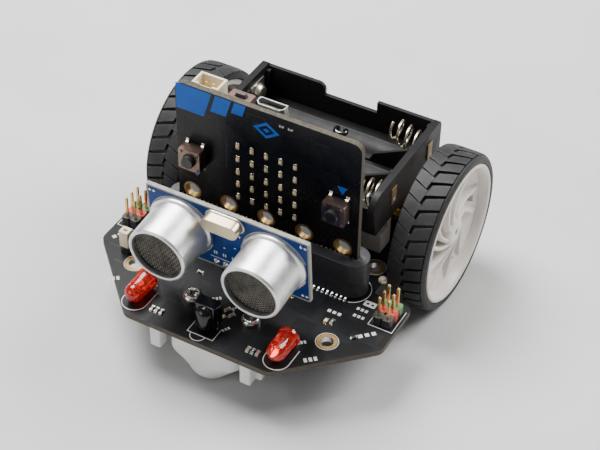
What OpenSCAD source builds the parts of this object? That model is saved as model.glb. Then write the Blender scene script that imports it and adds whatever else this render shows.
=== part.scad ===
// Two wheel robot car: a printed circuit board chassis on two geared motors and a ball caster,
// with a plug-in controller board, a distance sensor and an open tray for three AAA cells.
// Front is -Y, the axle runs along X, up is +Z, and the ground is z = 0. Millimetres.

/* [Wheels] */
// Outside diameter of a tyre
wheel_d = 43; // [40:0.5:46]
// Width of a tyre
tyre_w = 10.4; // [9:0.2:10.6]
// Width over the outer faces of both wheels
track_w = 82.4; // [80:0.2:88]
// Number of spoke pairs in a rim
spokes = 5; // [5:1:7]

/* [Chassis board] */
// Thickness of every circuit board
board_t = 1.6; // [1.2:0.2:1.8]
// Width over the two side ears
ear_w = 81.4; // [80:0.2:84]
// Width of the short front edge
nose_w = 41; // [38:1:44]
// Width of the rear part between the wheels
rear_w = 60; // [58:0.5:60]
// Front edge, measured from the origin
front_y = -42; // [-44:0.5:-41.5]
// Rear edge, measured from the origin
rear_y = 39; // [38.5:0.5:42]
// Hole for an M3 screw
mount_hole_d = 3.4; // [3:0.1:3.6]

/* [Controller board] */
// Width of the controller board
ctrl_w = 51.6; // [50:0.2:52]
// Height of the controller board
ctrl_h = 42; // [40:1:44]
// Distance between two lamps of the matrix
lamp_pitch = 4.03; // [3.8:0.01:4.2]
// Travel of a push button
button_travel = 0.4; // [0.2:0.05:0.5]

/* [Distance sensor] */
// Width of the sensor board
sonar_w = 45; // [44:0.5:46]
// Height of the sensor board
sonar_h = 20; // [19:0.5:21]
// Distance between the two sensor cans
sonar_pitch = 25.9; // [25:0.1:27]
// Outside diameter of a can
can_d = 16; // [15.6:0.1:16.2]
// Forward lean of the plugged-in sensor, in degrees
sonar_lean = 4.9; // [3:0.1:6]

/* [Battery tray] */
// Outside length, along the cells
tray_l = 53; // [52:0.5:54]
// Width of one cell bay
bay_w = 10.7; // [10.6:0.1:11]
// Height of the end walls
tray_h = 12.4; // [11.5:0.1:13]
// Wall thickness
tray_wall = 1.2; // [1:0.1:1.4]

/* [Caster] */
// Diameter of the ball
ball_d = 11; // [10:0.5:11]

/* [Hidden] */
$fn = 48;
axle_y = 20.5;
axle_z = wheel_d / 2;
motor_h = 10;
motor_d = 12;
board_top = axle_z - motor_h / 2;
board_bottom = board_top - board_t;
wheel_out = track_w / 2;
wheel_in = wheel_out - tyre_w;
gap = 0.05;
// Length of a cut that passes right through
through = 30;

// Motor and gearbox, along X from the gearbox face inwards
gearbox_out = 28.6;
plate_t = 0.8;
gearbox_l = 9;
gearbox_in = gearbox_out - gearbox_l;
can_l = 14.4;
can_in = gearbox_in - can_l;
cap_l = 1.6;
shaft_d = 3;
shaft_flat = 0.5;
shaft_end = wheel_out - 2.2;
shaft_hole_l = shaft_end - wheel_in + gap;

// Gear train: a centre axis and a parallel axis, three stages between pinion and output
gear_y = 3.3;
gear_gap = 0.06;
small_teeth = 12;
big_teeth = 32;
small_r = (gear_y - gear_gap) * 0.29;
big_r = gear_y - gear_gap - small_r;
gear_t = 1.05;
stage = 1.75;

// Controller board and its socket
ctrl_y = -7.3;
socket_top = board_top + 11.3;
socket_l = 57.2;
socket_d = 8.2;
socket_y = ctrl_y + board_t / 2;
ctrl_bottom = board_top + 4.7;
ctrl_top = ctrl_bottom + ctrl_h;
// Middles of the parts behind the top edge
reset_x = -8.9;
usb_x = -0.3;
cell_x = -18.4;
button_x = 20.3;
button_z = ctrl_top - 20.7;
button_w = 6.2;
button_t = 3.4;
plunger_r = 1.75;
ring_z = ctrl_bottom + 8.8;
ring_pitch = 10.85;
ring_d = 4;
contact_pitch = 1.27;

// Distance sensor
sonar_y = -25.7;
sonar_z = board_top + 19.6;
sensor_can_l = 12;
sensor_pin_z = -8.4;

// Headers at the ears
pin_pitch = 2.54;
header_x = 36.8;
header_y = -11.2;
pin_w = 0.64;

// Caster
caster_y = -34.1;
caster_screw_x = 8.4;
caster_screw_y = -29.3;
ball_r = ball_d / 2;
ball_gap = 0.2;
skirt_t = 1.6;
hull_z = 7.6;
receiver_pin_y = -35.5;
receiver_z = board_top + 1.4;

// Battery tray
tray_d = 3 * bay_w + 2 * tray_wall;
tray_y = 20.2;
tray_z = board_top + 12.6;
tray_floor = tray_z + tray_wall;
tray_screw_y = 13.3;
tray_head_r = 2.3;
// Height of a cell's axis above the tray's underside
cell_z = 5.35;
// Distance of the contact plates from the middle of the tray
contact_x = tray_l / 2 - 2.3;
spring_l = 7.2;
spring_wire_r = 0.3;
tab_t = 0.3;

// Lamps, receiver and switches on the chassis board
lamp_x = 20.3;
lamp_tip_y = -39.8;
lamp_r = 2.5;
lamp_l = 8.6;
lamp_z = board_top + 2.9;
jumper_x = -32.3;
jumper_y = -22.9;
mount_x = 27.8;
mount_front_y = -25.9;
mount_rear_x = 25.8;
mount_rear_y = 3.4;
bracket_x = 20.4;
bracket_screw_y = 9;
switch_x = 15;
switch_y = 36.2;

// Points of an arc, for rounded outlines
function arc(x, y, r, a0, a1, n = 6) =
    [for (i = [0:n]) [x + r * cos(a0 + (a1 - a0) * i / n), y + r * sin(a0 + (a1 - a0) * i / n)]];

// Outline of a gear with short straight-sided teeth
function gear_points(r, teeth, depth) =
    [for (i = [0:teeth - 1]) for (k = [[0.05, 0], [0.25, 1], [0.5, 1], [0.7, 0]])
        let (a = 360 * (i + k[0]) / teeth, q = r - depth + depth * k[1]) [q * cos(a), q * sin(a)]];

// The same children on the right (+X) and on the left
module both_sides() {
    children();
    mirror([1, 0, 0]) children();
}

// Children drawn with their Z along the axle
module on_axle(x) {
    translate([x, axle_y, axle_z]) rotate([0, 90, 0]) children();
}

// A box centred in X and Y, standing on z = 0
module block(x, y, z) {
    translate([-x / 2, -y / 2, 0]) cube([x, y, z]);
}

// A plate with rounded corners, centred in X and Y
module rounded_plate(x, y, z, r) {
    linear_extrude(z) polygon(concat(
        arc(x / 2 - r, y / 2 - r, r, 0, 90),
        arc(r - x / 2, y / 2 - r, r, 90, 180),
        arc(r - x / 2, r - y / 2, r, 180, 270),
        arc(x / 2 - r, r - y / 2, r, 270, 360)));
}

// A plate with fully round ends, long along X
module stadium(x, y, z) {
    union() {
        block(x - y, y, z);
        translate([(x - y) / 2, 0, 0]) cylinder(d = y, h = z);
        translate([(y - x) / 2, 0, 0]) cylinder(d = y, h = z);
    }
}

// Children in the frame of the sensor board: its front face, leaning forward
module on_sonar() {
    translate([0, sonar_y, sonar_z]) rotate([sonar_lean, 0, 0]) children();
}

// Children in the frame of the controller board's front face, facing -Y
module on_controller(x, z) {
    translate([x, ctrl_y, z]) rotate([90, 0, 0]) children();
}

// ---- chassis ----

module chassis_outline() {
    r = 3;
    slant = 45;
    ear = ear_w / 2;
    nose = nose_w / 2;
    ear_front = front_y + (ear - nose);
    rear = rear_w / 2;
    half = concat(
        arc(nose - r * tan(slant / 2), front_y + r, r, -90, -45),
        arc(ear - r, ear_front + r * tan(slant / 2), r, -45, 0),
        arc(ear - 2, -7, 2, 0, 90, 4),
        [[rear, -5]],
        arc(rear - 3, rear_y - 3, 3, 0, 90, 4));
    left = [for (i = [len(half) - 1:-1:0]) [-half[i][0], half[i][1]]];
    polygon(concat(half, left));
}

module chassis_board() {
    color("#1c1c1e") difference() {
        translate([0, 0, board_bottom]) linear_extrude(board_t) chassis_outline();
        both_sides() {
            translate([mount_x, mount_front_y, 0]) cylinder(d = mount_hole_d, h = through);
            translate([mount_rear_x, mount_rear_y, 0]) cylinder(d = mount_hole_d, h = through);
            translate([caster_screw_x, caster_screw_y, 0]) cylinder(d = 2.6, h = through);
            for (s = [-1, 1])
                translate([bracket_x, axle_y + s * bracket_screw_y, 0]) cylinder(d = 2.2, h = through);
        }
        for (s = [-1, 1]) translate([0, tray_y + s * tray_screw_y, 0]) cylinder(d = 3.2, h = through);
    }
}

// ---- controller ----

module controller_board() {
    color("#161618") difference() {
        translate([0, ctrl_y + board_t, ctrl_bottom + ctrl_h / 2]) rotate([90, 0, 0])
            rounded_plate(ctrl_w, ctrl_h, board_t, 2.4);
        for (i = [-2:2])
            translate([i * ring_pitch, 0, ring_z]) rotate([90, 0, 0]) cylinder(d = ring_d, h = through);
    }
}

module edge_socket() {
    color("#222226") difference() {
        translate([0, socket_y, board_top]) stadium(socket_l, socket_d, socket_top - board_top);
        translate([0, socket_y, ctrl_bottom - gap]) block(ctrl_w + 2 * gap, board_t + 2 * gap, through);
        for (s = [-1, 1]) translate([0, socket_y + s * 1.9, ctrl_bottom + 1]) block(50.4, 0.9, through);
    }
}

module socket_contacts() {
    color("silver") for (s = [-1, 1]) for (i = [-19.5:1:19.5])
        translate([i * contact_pitch, socket_y + s * 4.55, board_top]) block(0.6, 0.85, 0.45);
}

module led_matrix() {
    color("beige") for (c = [-2:2]) for (r = [0:4])
        on_controller(c * lamp_pitch, ctrl_top - 13.35 - r * lamp_pitch) block(1.0, 1.9, 0.6);
}

module button_body() {
    color("#6e5650") {
        difference() {
            rounded_plate(button_w, button_w, button_t, 0.3);
            translate([0, 0, 1.2]) cylinder(r = plunger_r + 0.08, h = 10);
        }
        for (x = [-1, 1]) for (y = [-1, 1]) {
            translate([x * 2.3, y * 2.3, button_t]) cylinder(r = 0.45, h = 0.2);
            translate([x * 2.25, y * 3.7, 0]) block(0.8, 1.3, 0.5);
        }
    }
}

module button_plunger() {
    color("#121212") translate([0, 0, 1.2 + button_travel + 0.1]) cylinder(r = plunger_r, h = 2.9);
}

module reset_body() {
    color("#b09c94") difference() {
        translate([reset_x, ctrl_y + board_t + 1.75, ctrl_top - 4.1]) block(6.2, 3.5, 3.6);
        translate([reset_x, ctrl_y + board_t + 1.75, ctrl_top - 2.5]) block(2.9, 1.5, 5);
    }
}

module reset_plunger() {
    color("#5a4640") translate([reset_x, ctrl_y + board_t + 1.75, ctrl_top - 2.0])
        block(2.75, 1.35, 2.6);
}

module usb_socket() {
    color("silver") difference() {
        translate([usb_x, ctrl_y + board_t + 1.45, ctrl_top - 5]) block(7.6, 2.8, 5.6);
        translate([usb_x, ctrl_y + board_t + 1.45, ctrl_top - 4]) block(6.9, 2.1, 10);
    }
    color("#1a1a1a") translate([usb_x, ctrl_y + board_t + 1.45, ctrl_top - 4]) block(5, 0.7, 3.6);
}

module cell_socket() {
    color("#efe6cc") difference() {
        translate([cell_x, ctrl_y + board_t + 2.4, ctrl_top - 4.9]) block(8, 4.8, 5.9);
        translate([cell_x, ctrl_y + board_t + 2.4, ctrl_top - 3.6]) block(6.6, 3.5, 10);
    }
    color("gold") for (s = [-1, 1]) translate([cell_x + s, ctrl_y + board_t + 2.4, ctrl_top - 3.7])
        block(0.5, 0.5, 3.2);
}

module circuit_chips() {
    color("#202022") {
        // Controller: distance from the middle and from the top edge, width, height, thickness
        for (c = [[-9, 12, 7, 7, 1.1], [6, 13, 6, 6, 1], [16, 14, 3, 3, 0.9], [15, 24, 4, 4, 1.1]])
            translate([c[0], ctrl_y + board_t, ctrl_top - c[1]]) rotate([-90, 0, 0])
                block(c[2], c[3], c[4]);
        on_sonar() for (x = [-14, 0.5, 14])
            translate([x, board_t, 1.5]) rotate([-90, 0, 0]) block(8.6, 3.9, 1.5);
        // Motor driver and processor under the chassis
        translate([12, 7, board_bottom - 1.2]) block(7, 5, 1.2);
        translate([-12, -7, board_bottom - 1.2]) block(9, 5, 1.2);
    }
}

// ---- distance sensor ----

module sonar_board() {
    color("#1d4f9c") on_sonar() difference() {
        translate([-sonar_w / 2, 0, -sonar_h / 2]) cube([sonar_w, board_t, sonar_h]);
        for (i = [-1.5:1:1.5])
            translate([i * pin_pitch, 5, sensor_pin_z]) rotate([90, 0, 0]) cylinder(d = 1, h = 10);
    }
}

module sonar_cans() {
    color("gainsboro") on_sonar() for (s = [-1, 1])
        translate([s * sonar_pitch / 2, 0, 0]) rotate([90, 0, 0]) difference() {
            union() {
                cylinder(d = can_d + 1.6, h = 1.2);
                cylinder(d = can_d, h = sensor_can_l);
            }
            translate([0, 0, 1]) cylinder(d = can_d - 1, h = sensor_can_l - 2);
            cylinder(d = can_d - 2.2, h = 40);
        }
}

module sonar_inserts() {
    color("#4a443c") on_sonar() for (s = [-1, 1])
        translate([s * sonar_pitch / 2, 0, 0]) rotate([90, 0, 0]) {
            cylinder(d = can_d - 3, h = 9.2);
            translate([0, 0, 9.2]) cylinder(d = can_d - 1.1, h = 1.6);
        }
}

module sonar_crystal() {
    color("#d8d0bc") on_sonar() translate([-0.2, 0, 7.4]) rotate([90, 0, 0]) {
        stadium(11, 4.7, 0.6);
        stadium(10.2, 4, 3.4);
    }
}

module sonar_pins() {
    color("#222222") on_sonar() difference() {
        translate([0, board_t + 1.27, sensor_pin_z - 1.27]) block(10.1, 2.5, 2.54);
        for (i = [-1.5:1:1.5])
            translate([i * pin_pitch, 10, sensor_pin_z]) rotate([90, 0, 0]) block(pin_w, pin_w, through);
    }
    color("gold") on_sonar() for (i = [-1.5:1:1.5]) translate([i * pin_pitch, 0, 0]) {
        translate([-pin_w / 2, -1.2, sensor_pin_z - pin_w / 2]) cube([pin_w, 6.9, pin_w]);
        translate([-pin_w / 2, 5.06, -13.6]) cube([pin_w, pin_w, 5.5]);
    }
}

module sonar_socket() {
    color("#1a1a1c") difference() {
        translate([0, sonar_y + 6.3, board_top]) block(10.3, 2.6, 8.5);
        translate([0, sonar_y + 6.3, board_top + 4]) block(9, 1.5, 10);
    }
}

// ---- lamps, receiver, headers ----

module led_lenses() {
    color("red") both_sides() translate([lamp_x, lamp_tip_y + lamp_l, lamp_z]) rotate([90, 0, 0]) {
        cylinder(r = 2.9, h = 1);
        cylinder(r = lamp_r, h = lamp_l - lamp_r);
        translate([0, 0, lamp_l - lamp_r]) sphere(r = lamp_r);
    }
}

module ir_receiver() {
    color("#141416") {
        translate([0, receiver_pin_y, receiver_z]) block(6.2, 3.4, 6.6);
        intersection() {
            translate([0, receiver_pin_y - 1.2, receiver_z + 3.8]) sphere(r = 2.6);
            translate([0, receiver_pin_y - 3.2, receiver_z]) block(6, 4.4, 8);
        }
    }
}

module sensor_leads() {
    color("silver") {
        both_sides() for (s = [-1, 1]) {
            translate([lamp_x + s * 1.27, lamp_tip_y + lamp_l + 1.2, lamp_z]) rotate([90, 0, 0])
                block(0.5, 0.5, 1.2);
            translate([lamp_x + s * 1.27, lamp_tip_y + lamp_l + 1.4, board_bottom - 1])
                block(0.5, 0.5, lamp_z - board_bottom + 1.25);
        }
        for (i = [-1:1]) translate([i * pin_pitch, receiver_pin_y, board_bottom - 1])
            block(0.5, 0.5, receiver_z - board_bottom + 1);
    }
}

module header_bases() {
    row_colors = ["#202020", "#c8403c", "#7fae72"];
    both_sides() for (row = [-1, 0, 1]) color(row_colors[row + 1])
        translate([header_x, header_y + row * pin_pitch, board_top]) difference() {
            block(2 * pin_pitch - 0.04, pin_pitch - 0.04, pin_pitch);
            for (s = [-1, 1]) translate([s * pin_pitch / 2, 0, -1]) block(pin_w, pin_w, 9);
        }
}

module header_pins() {
    color("gold") both_sides() for (row = [-1, 0, 1]) for (s = [-1, 1])
        translate([header_x + s * pin_pitch / 2, header_y + row * pin_pitch, board_bottom - 1.4])
            block(pin_w, pin_w, board_t + 1.4 + 8.6);
}

module jumper_header() {
    translate([jumper_x, jumper_y, 0]) {
        color("#202020") translate([0, 0, board_top]) block(2.5, 2.5, 2.1);
        color("gold") for (s = [-1, 1]) translate([0, s * 0.64, board_bottom - 1.2])
            block(0.4, 0.4, board_t + 1.2 + 6);
    }
}

module jumper_cap() {
    color("#efe8d4") translate([jumper_x, jumper_y, board_top + 2.1]) difference() {
        block(2.6, 2.5, 4.9);
        for (s = [-1, 1]) translate([0, s * 0.64, -1]) block(0.5, 0.5, 5.2);
    }
}

// ---- caster ----

module caster_housing() {
    cup_r = ball_r + 0.9;
    skirt_z = board_bottom - skirt_t;
    color("white") difference() {
        union() {
            translate([0, -33.6, skirt_z]) rounded_plate(29, 13.4, skirt_t, 1.5);
            hull() {
                translate([0, caster_y, ball_r]) sphere(r = cup_r, $fn = 32);
                translate([0, caster_y, hull_z]) rounded_plate(21.6, 12.2, skirt_z + gap - hull_z, 6);
            }
            both_sides() {
                translate([12.95, -38.7, 7]) rounded_plate(3.1, 3.2, 7, 0.5);
                translate([14.6, -36.2, 7.4]) rounded_plate(3.1, 3, 7, 0.5);
                translate([caster_screw_x, caster_screw_y, board_bottom - 6]) cylinder(r = 2.6, h = 6);
            }
        }
        translate([0, caster_y, ball_r]) sphere(r = ball_r + ball_gap);
        translate([0, caster_y, -1]) cylinder(r = 12, h = 2.2);
        both_sides() translate([caster_screw_x, caster_screw_y, 8]) cylinder(r = 1.05, h = 20);
        // Room for the soldered pins of the receiver
        translate([0, receiver_pin_y, board_bottom - 1.3]) block(7, 1.8, 5);
    }
}

module caster_ball() {
    color("#dcdcdc") translate([0, caster_y, ball_r]) sphere(r = ball_r);
}

// A pan head screw pointing down, head resting on z = 0
module pan_screw(head_r, head_h, r, l) {
    difference() {
        union() {
            cylinder(r = head_r, h = head_h * 0.45);
            translate([0, 0, head_h * 0.45]) cylinder(r1 = head_r, r2 = head_r * 0.62, h = head_h * 0.55);
            translate([0, 0, -l]) cylinder(r = r, h = l + 0.1);
        }
        for (a = [0, 90]) rotate(a) translate([0, 0, head_h * 0.4]) block(head_r * 1.1, head_r * 0.28, 5);
    }
}

module caster_screws() {
    color("silver") both_sides() translate([caster_screw_x, caster_screw_y, board_top])
        pan_screw(2.4, 1.9, 1, 6);
}

// ---- switches and sounder ----

module power_switch_body() {
    color("silver") difference() {
        translate([switch_x, switch_y, board_top]) block(8.6, 4.4, 3.6);
        translate([switch_x, switch_y + 2, board_top + 1]) block(3.7, 3.2, 1.6);
    }
}

module power_switch_slider() {
    color("#1a1a1a") translate([switch_x - 1, switch_y + 2.2, board_top + 1.1]) block(1.6, 3.4, 1.4);
}

module buzzer() {
    color("#18181a") translate([-12, 4.8, board_top]) difference() {
        cylinder(d = 9.6, h = 5);
        translate([0, 0, 4]) cylinder(d = 1.6, h = 5);
    }
}

module battery_inlet() {
    color("#efe6cc") translate([-15, switch_y - 0.6, board_top]) difference() {
        block(7.9, 5.8, 4.8);
        translate([0, 1, 0.7]) block(6.5, 5.8, 3.4);
    }
    color("gold") for (s = [-1, 1]) translate([-15 + s, switch_y - 2, board_top + 2])
        rotate([-90, 0, 0]) block(0.5, 0.5, 4);
}

module line_sensors() {
    color("#18181a") both_sides() translate([7, -15, board_bottom - 3]) difference() {
        block(3.6, 6, 3);
        for (s = [-1, 1]) translate([0, s * 1.5, -1]) cylinder(d = 1.6, h = 2);
    }
}

// ---- motors and gearboxes ----

// Round motor can with two flats, along the axle
module flatted(l, d) {
    intersection() {
        cylinder(d = d, h = l);
        block(motor_h, d + 2, l);
    }
}

module motor_cans() {
    color("silver") both_sides() on_axle(can_in) difference() {
        flatted(can_l, motor_d);
        translate([0, 0, -1]) cylinder(r = 4.1, h = can_l - 0.2);
        cylinder(r = 0.8, h = 40);
    }
}

module motor_end_caps() {
    color("#1b1b1b") both_sides() on_axle(can_in - cap_l) difference() {
        union() {
            flatted(cap_l, motor_d - 0.3);
            cylinder(r = 4.05, h = cap_l + 1);
        }
        translate([0, 0, 0.6]) cylinder(r = 1.1, h = 9);
    }
    color("gold") both_sides() for (s = [-1, 1])
        translate([can_in - cap_l - 1.6, axle_y + s * 3.6, axle_z]) rotate([0, 90, 0]) block(1.4, 0.4, 1.6);
}

module gearbox_plates() {
    plate_x = [0, gearbox_l - plate_t];
    color("#d8b45c") both_sides() difference() {
        union() {
            for (x = plate_x) on_axle(gearbox_in + x) block(motor_h, motor_d, plate_t);
            for (s = [-1, 1]) translate([0, s * 5.3, -s * 4.2])
                on_axle(gearbox_in) cylinder(r = 0.6, h = gearbox_l);
            translate([0, gear_y, 0]) on_axle(gearbox_in) cylinder(r = 0.4, h = gearbox_l);
        }
        on_axle(gearbox_in - 1) cylinder(r = 0.8, h = 3);
        on_axle(gearbox_out - 2) cylinder(d = shaft_d + 0.1, h = 9);
    }
}

module motor_brackets() {
    inner = 0.1;
    color("white") both_sides() translate([bracket_x, axle_y, board_top]) difference() {
        union() {
            block(8, motor_d + 4.4, motor_h + 2);
            block(8, 23.6, 6);
        }
        translate([0, 0, -1]) block(30, motor_d + 2 * inner, motor_h + 1 + inner);
        for (s = [-1, 1]) translate([0, s * bracket_screw_y, -1]) cylinder(r = 1.05, h = 9);
        for (s = [-1, 1]) translate([0, s * bracket_screw_y, 1.6]) cylinder(r = 2.1, h = 9);
    }
}

module bracket_screws() {
    color("silver") both_sides() for (s = [-1, 1])
        translate([bracket_x, axle_y + s * bracket_screw_y, board_top + 1.6])
            pan_screw(1.8, 1.4, 0.95, 6.4);
}

module bracket_nuts() {
    color("silver") both_sides() for (s = [-1, 1])
        translate([bracket_x, axle_y + s * bracket_screw_y, board_bottom - 1.5]) difference() {
            cylinder(d = 4.4, h = 1.5, $fn = 6);
            translate([0, 0, -1]) cylinder(r = 1, h = 9);
        }
}

// Centre of gear layer n, counted from the pinion outwards, along X
function layer_x(n) = gearbox_in + plate_t + 0.5 + n * stage;

module gear(r, teeth) {
    linear_extrude(gear_t) polygon(gear_points(r, teeth, r * 0.14));
}

module pinion_shaft() {
    color("silver") on_axle(can_in - cap_l + 0.8) cylinder(r = 0.5, h = layer_x(0) - can_in + cap_l + 0.3);
    color("#caa64e") on_axle(layer_x(0)) difference() {
        gear(small_r, small_teeth);
        translate([0, 0, -1]) cylinder(r = 0.49, h = 9);
    }
    color("#8a5a3c") on_axle(can_in + 1.6) difference() {
        cylinder(r = 3.7, h = 9);
        translate([0, 0, -1]) cylinder(r = 0.49, h = 30);
    }
}

// A big gear and a small gear in one, turning on the parallel axis or on the centre axis
module double_gear(n, y, bore_r) {
    color("#caa64e") translate([0, y, 0]) difference() {
        union() {
            on_axle(layer_x(n)) gear(big_r, big_teeth);
            on_axle(layer_x(n) + gear_t - 0.1) cylinder(r = small_r * 0.84, h = stage - gear_t + 0.2);
            on_axle(layer_x(n + 1)) gear(small_r, small_teeth);
        }
        on_axle(0) cylinder(r = bore_r, h = 60);
    }
}

module output_shaft() {
    on_centre = layer_x(3);
    color("#caa64e") on_axle(on_centre) difference() {
        gear(big_r, big_teeth);
        translate([0, 0, -1]) cylinder(r = shaft_d / 2 - 0.01, h = 9);
    }
    color("silver") on_axle(on_centre) difference() {
        cylinder(d = shaft_d, h = shaft_end - on_centre);
        translate([shaft_d / 2 - shaft_flat, -3, gearbox_out + 0.5 - on_centre]) cube([4, 6, 40]);
    }
    color("silver") on_axle(layer_x(1) - 0.2) cylinder(r = 0.4, h = layer_x(3) - layer_x(1) + 0.3);
}

// ---- wheels ----

module rim() {
    hub_r = 4.2;
    bead_r = 18.9;
    color("white") on_axle(wheel_in) difference() {
        union() {
            rotate_extrude() polygon([[bead_r - 1.6, 0.6], [bead_r - 0.2, 0.6], [bead_r - 0.2, 1.6],
                [bead_r - 1, 1.8], [bead_r - 1, tyre_w - 1.4], [bead_r, tyre_w - 1.2],
                [bead_r, tyre_w], [bead_r - 1.4, tyre_w], [bead_r - 2, tyre_w - 2],
                [bead_r - 2, 1.6]]);
            // Web, rising from the hub to the lip like a shallow funnel
            rotate_extrude() polygon([[3, 2], [bead_r - 1.5, tyre_w - 4.6],
                [bead_r - 1.5, tyre_w - 2.9], [3, 3.8]]);
            // Spokes in pairs, swept round from the hub to the lip
            for (i = [0:spokes - 1]) for (a = [-15, 15]) rotate(360 * i / spokes + a)
                translate([0, 0, 2.8]) linear_extrude(tyre_w - 4.4) polygon(concat(
                arc(0, 0, 3.7, -14, 14),
                arc(0, 0, bead_r - 1.2, -52, -60)));
            cylinder(r = hub_r, h = tyre_w - 1);
            translate([0, 0, -1.6]) cylinder(r = 3.4, h = 3);
        }
        difference() {
            translate([0, 0, -3]) cylinder(d = shaft_d + 0.1, h = shaft_hole_l + 3);
            translate([shaft_d / 2 - shaft_flat + 0.05, -3, -3]) cube([4, 6, 40]);
        }
        translate([0, 0, 1]) cylinder(r = 0.9, h = through);
        // Vents in the web: one between neighbouring pairs, one out between the spokes of a pair
        for (i = [0:spokes - 1]) {
            rotate(360 * i / spokes - 8) translate([9, 0, 0]) cylinder(r = 0.8, h = through);
            rotate(360 * i / spokes - 52) translate([14.2, 0, 0]) cylinder(r = 0.8, h = through);
        }
    }
}

module tyre() {
    tread_r = wheel_d / 2;
    shoulder_r = tread_r - 1.1;
    groove = 0.3;
    mid = tyre_w / 2;
    color("#1d1d1f") on_axle(wheel_in) rotate_extrude() polygon(concat(
        [[17.95, 1.9], [18.8, 1.55], [18.8, 0.2], [19.3, 0]],
        [[shoulder_r, 0], [tread_r - 0.25, 0.9], [tread_r, 2.4], [tread_r, mid - groove - 0.1]],
        [[tread_r - 0.8, mid - groove], [tread_r - 0.8, mid + groove]],
        [[tread_r, mid + groove + 0.1], [tread_r, tyre_w - 2.4], [tread_r - 0.25, tyre_w - 0.9]],
        [[shoulder_r, tyre_w], [19.3, tyre_w], [19, tyre_w - 0.15], [19, tyre_w - 1.25]],
        [[17.95, tyre_w - 1.45]]));
}

// The children of the right side on the left
module left() {
    mirror([1, 0, 0]) children();
}

// The same wheel turned round, so its tread points the other way
module turned() {
    translate([0, 2 * axle_y, 0]) rotate(180) children();
}

// ---- battery tray ----

module battery_tray() {
    half = tray_l / 2;
    deep = tray_d / 2;
    color("#1e1e20") difference() {
        translate([0, tray_y, tray_z]) difference() {
            union() {
                block(tray_l, tray_d, tray_wall + 1.2);
                // End walls, with the front top corner rounded off
                for (s = [-1, 1]) translate([s * (half - 1), 0, 0]) rotate([90, 0, 90])
                    translate([0, 0, -1]) linear_extrude(2) polygon(concat(
                        [[-deep, 0], [deep, 0], [deep, tray_h - 1.5]],
                        arc(deep - 1.5, tray_h - 1.5, 1.5, 0, 90, 4),
                        arc(3.2 - deep, tray_h - 5.2, 5.2, 90, 165, 6)));
                // Long walls, low in the middle
                for (s = [-1, 1]) translate([0, s * (deep - tray_wall / 2), 0]) rotate([90, 0, 0])
                    translate([0, 0, -tray_wall / 2]) linear_extrude(tray_wall)
                    polygon(long_wall_points(s > 0 ? tray_h - 0.8 : tray_h - 4.5));
                // Ribs between the bays, high at the ends
                for (s = [-1, 1]) translate([0, s * bay_w / 2, 0]) rotate([90, 0, 0])
                    translate([0, 0, -0.5]) linear_extrude(1) polygon(rib_points());
            }
            for (b = [-1:1]) translate([0, b * bay_w, tray_wall + cell_z]) rotate([0, 90, 0])
                cylinder(r = 5.3, h = tray_l - 4, center = true);
        }
        for (s = [-1, 1]) translate([0, tray_y + s * tray_screw_y, tray_z - 1]) {
            cylinder(d = 3.6, h = 9);
            translate([0, 0, tray_wall + 1]) cylinder(r = tray_head_r + 0.1, h = 9);
        }
    }
}

function long_wall_points(high) = concat(
    [[-tray_l / 2, 0], [tray_l / 2, 0], [tray_l / 2, high]],
    [[8.2, high], [8.2, high - 3.4], [-7.2, high - 3.4]],
    arc(-9.2, high - 2, 2, 0, 90, 4),
    [[-tray_l / 2, high]]);

// High at the ends, sloping inwards, with a step down to a low middle part
function rib_points() = let (reach = tray_l / 2 - 1, high = tray_h - 1.2) [
    [-reach, 0], [reach, 0], [reach, high], [13.7, high - 6], [12.6, 3], [-12.6, 3], [-13.7, high - 6],
    [-reach, high]];

// Rings of a conical coil spring along X, standing on an end wall
module spring(turns, r0, r1, l) {
    for (i = [0:turns - 1]) translate([l * (i + 0.5) / turns, 0, 0]) rotate([0, 90, 0])
        rotate_extrude($fn = 24) translate([r0 + (r1 - r0) * i / (turns - 1), 0])
            circle(r = spring_wire_r, $fn = 13);
    translate([0, 0, -r0 * 0.9]) rotate([0, 90, 0]) cylinder(r = spring_wire_r, h = l);
}

// Children on the axis of each cell: turned round in the front and rear bays
module each_cell() {
    for (b = [-1:1]) translate([0, tray_y + b * bay_w, tray_z + tray_wall + cell_z - gap])
        if (b == 0) children();
        else mirror([1, 0, 0]) children();
}

module battery_springs() {
    color("silver") each_cell() translate([-contact_x, 0, 0]) spring(4, 3.3, 2.4, spring_l);
}

module battery_contacts() {
    color("#c9a65a") {
        each_cell() for (s = [-1, 1])
            translate([s * (contact_x + tab_t / 2) - tab_t / 2, 0, 0]) rotate([0, 90, 0])
                block(7.4, 7.4, tab_t);
        each_cell() translate([contact_x, 0, 0]) rotate([0, -90, 0]) cylinder(r1 = 2.9, r2 = 2.1, h = 1.6);
        // Tabs outside the end walls
        for (s = [-1, 1]) for (y = [-9.1, 11.3])
            translate([s * (tray_l / 2 + tab_t / 2), tray_y + y, tray_z + 4.2]) block(tab_t, 3, 5.4);
    }
}

module tray_standoffs() {
    color("white") for (s = [-1, 1]) translate([0, tray_y + s * tray_screw_y, board_top]) difference() {
        cylinder(d = 6, h = tray_z - board_top);
        translate([0, 0, -1]) cylinder(r = 1.55, h = 40);
    }
}

module tray_screws() {
    color("silver") for (s = [-1, 1]) translate([0, tray_y + s * tray_screw_y, tray_floor]) {
        difference() {
            union() {
                cylinder(r = tray_head_r, h = 1.1);
                translate([0, 0, -5]) cylinder(r = 1.5, h = 5.1);
            }
            translate([0, 0, 0.6]) block(3.6, 0.6, 2);
        }
    }
    color("silver") for (s = [-1, 1]) translate([0, tray_y + s * tray_screw_y, board_bottom - 1.4]) {
        cylinder(r = 2.7, h = 1.4);
        cylinder(r = 1.5, h = 7);
    }
}

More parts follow.
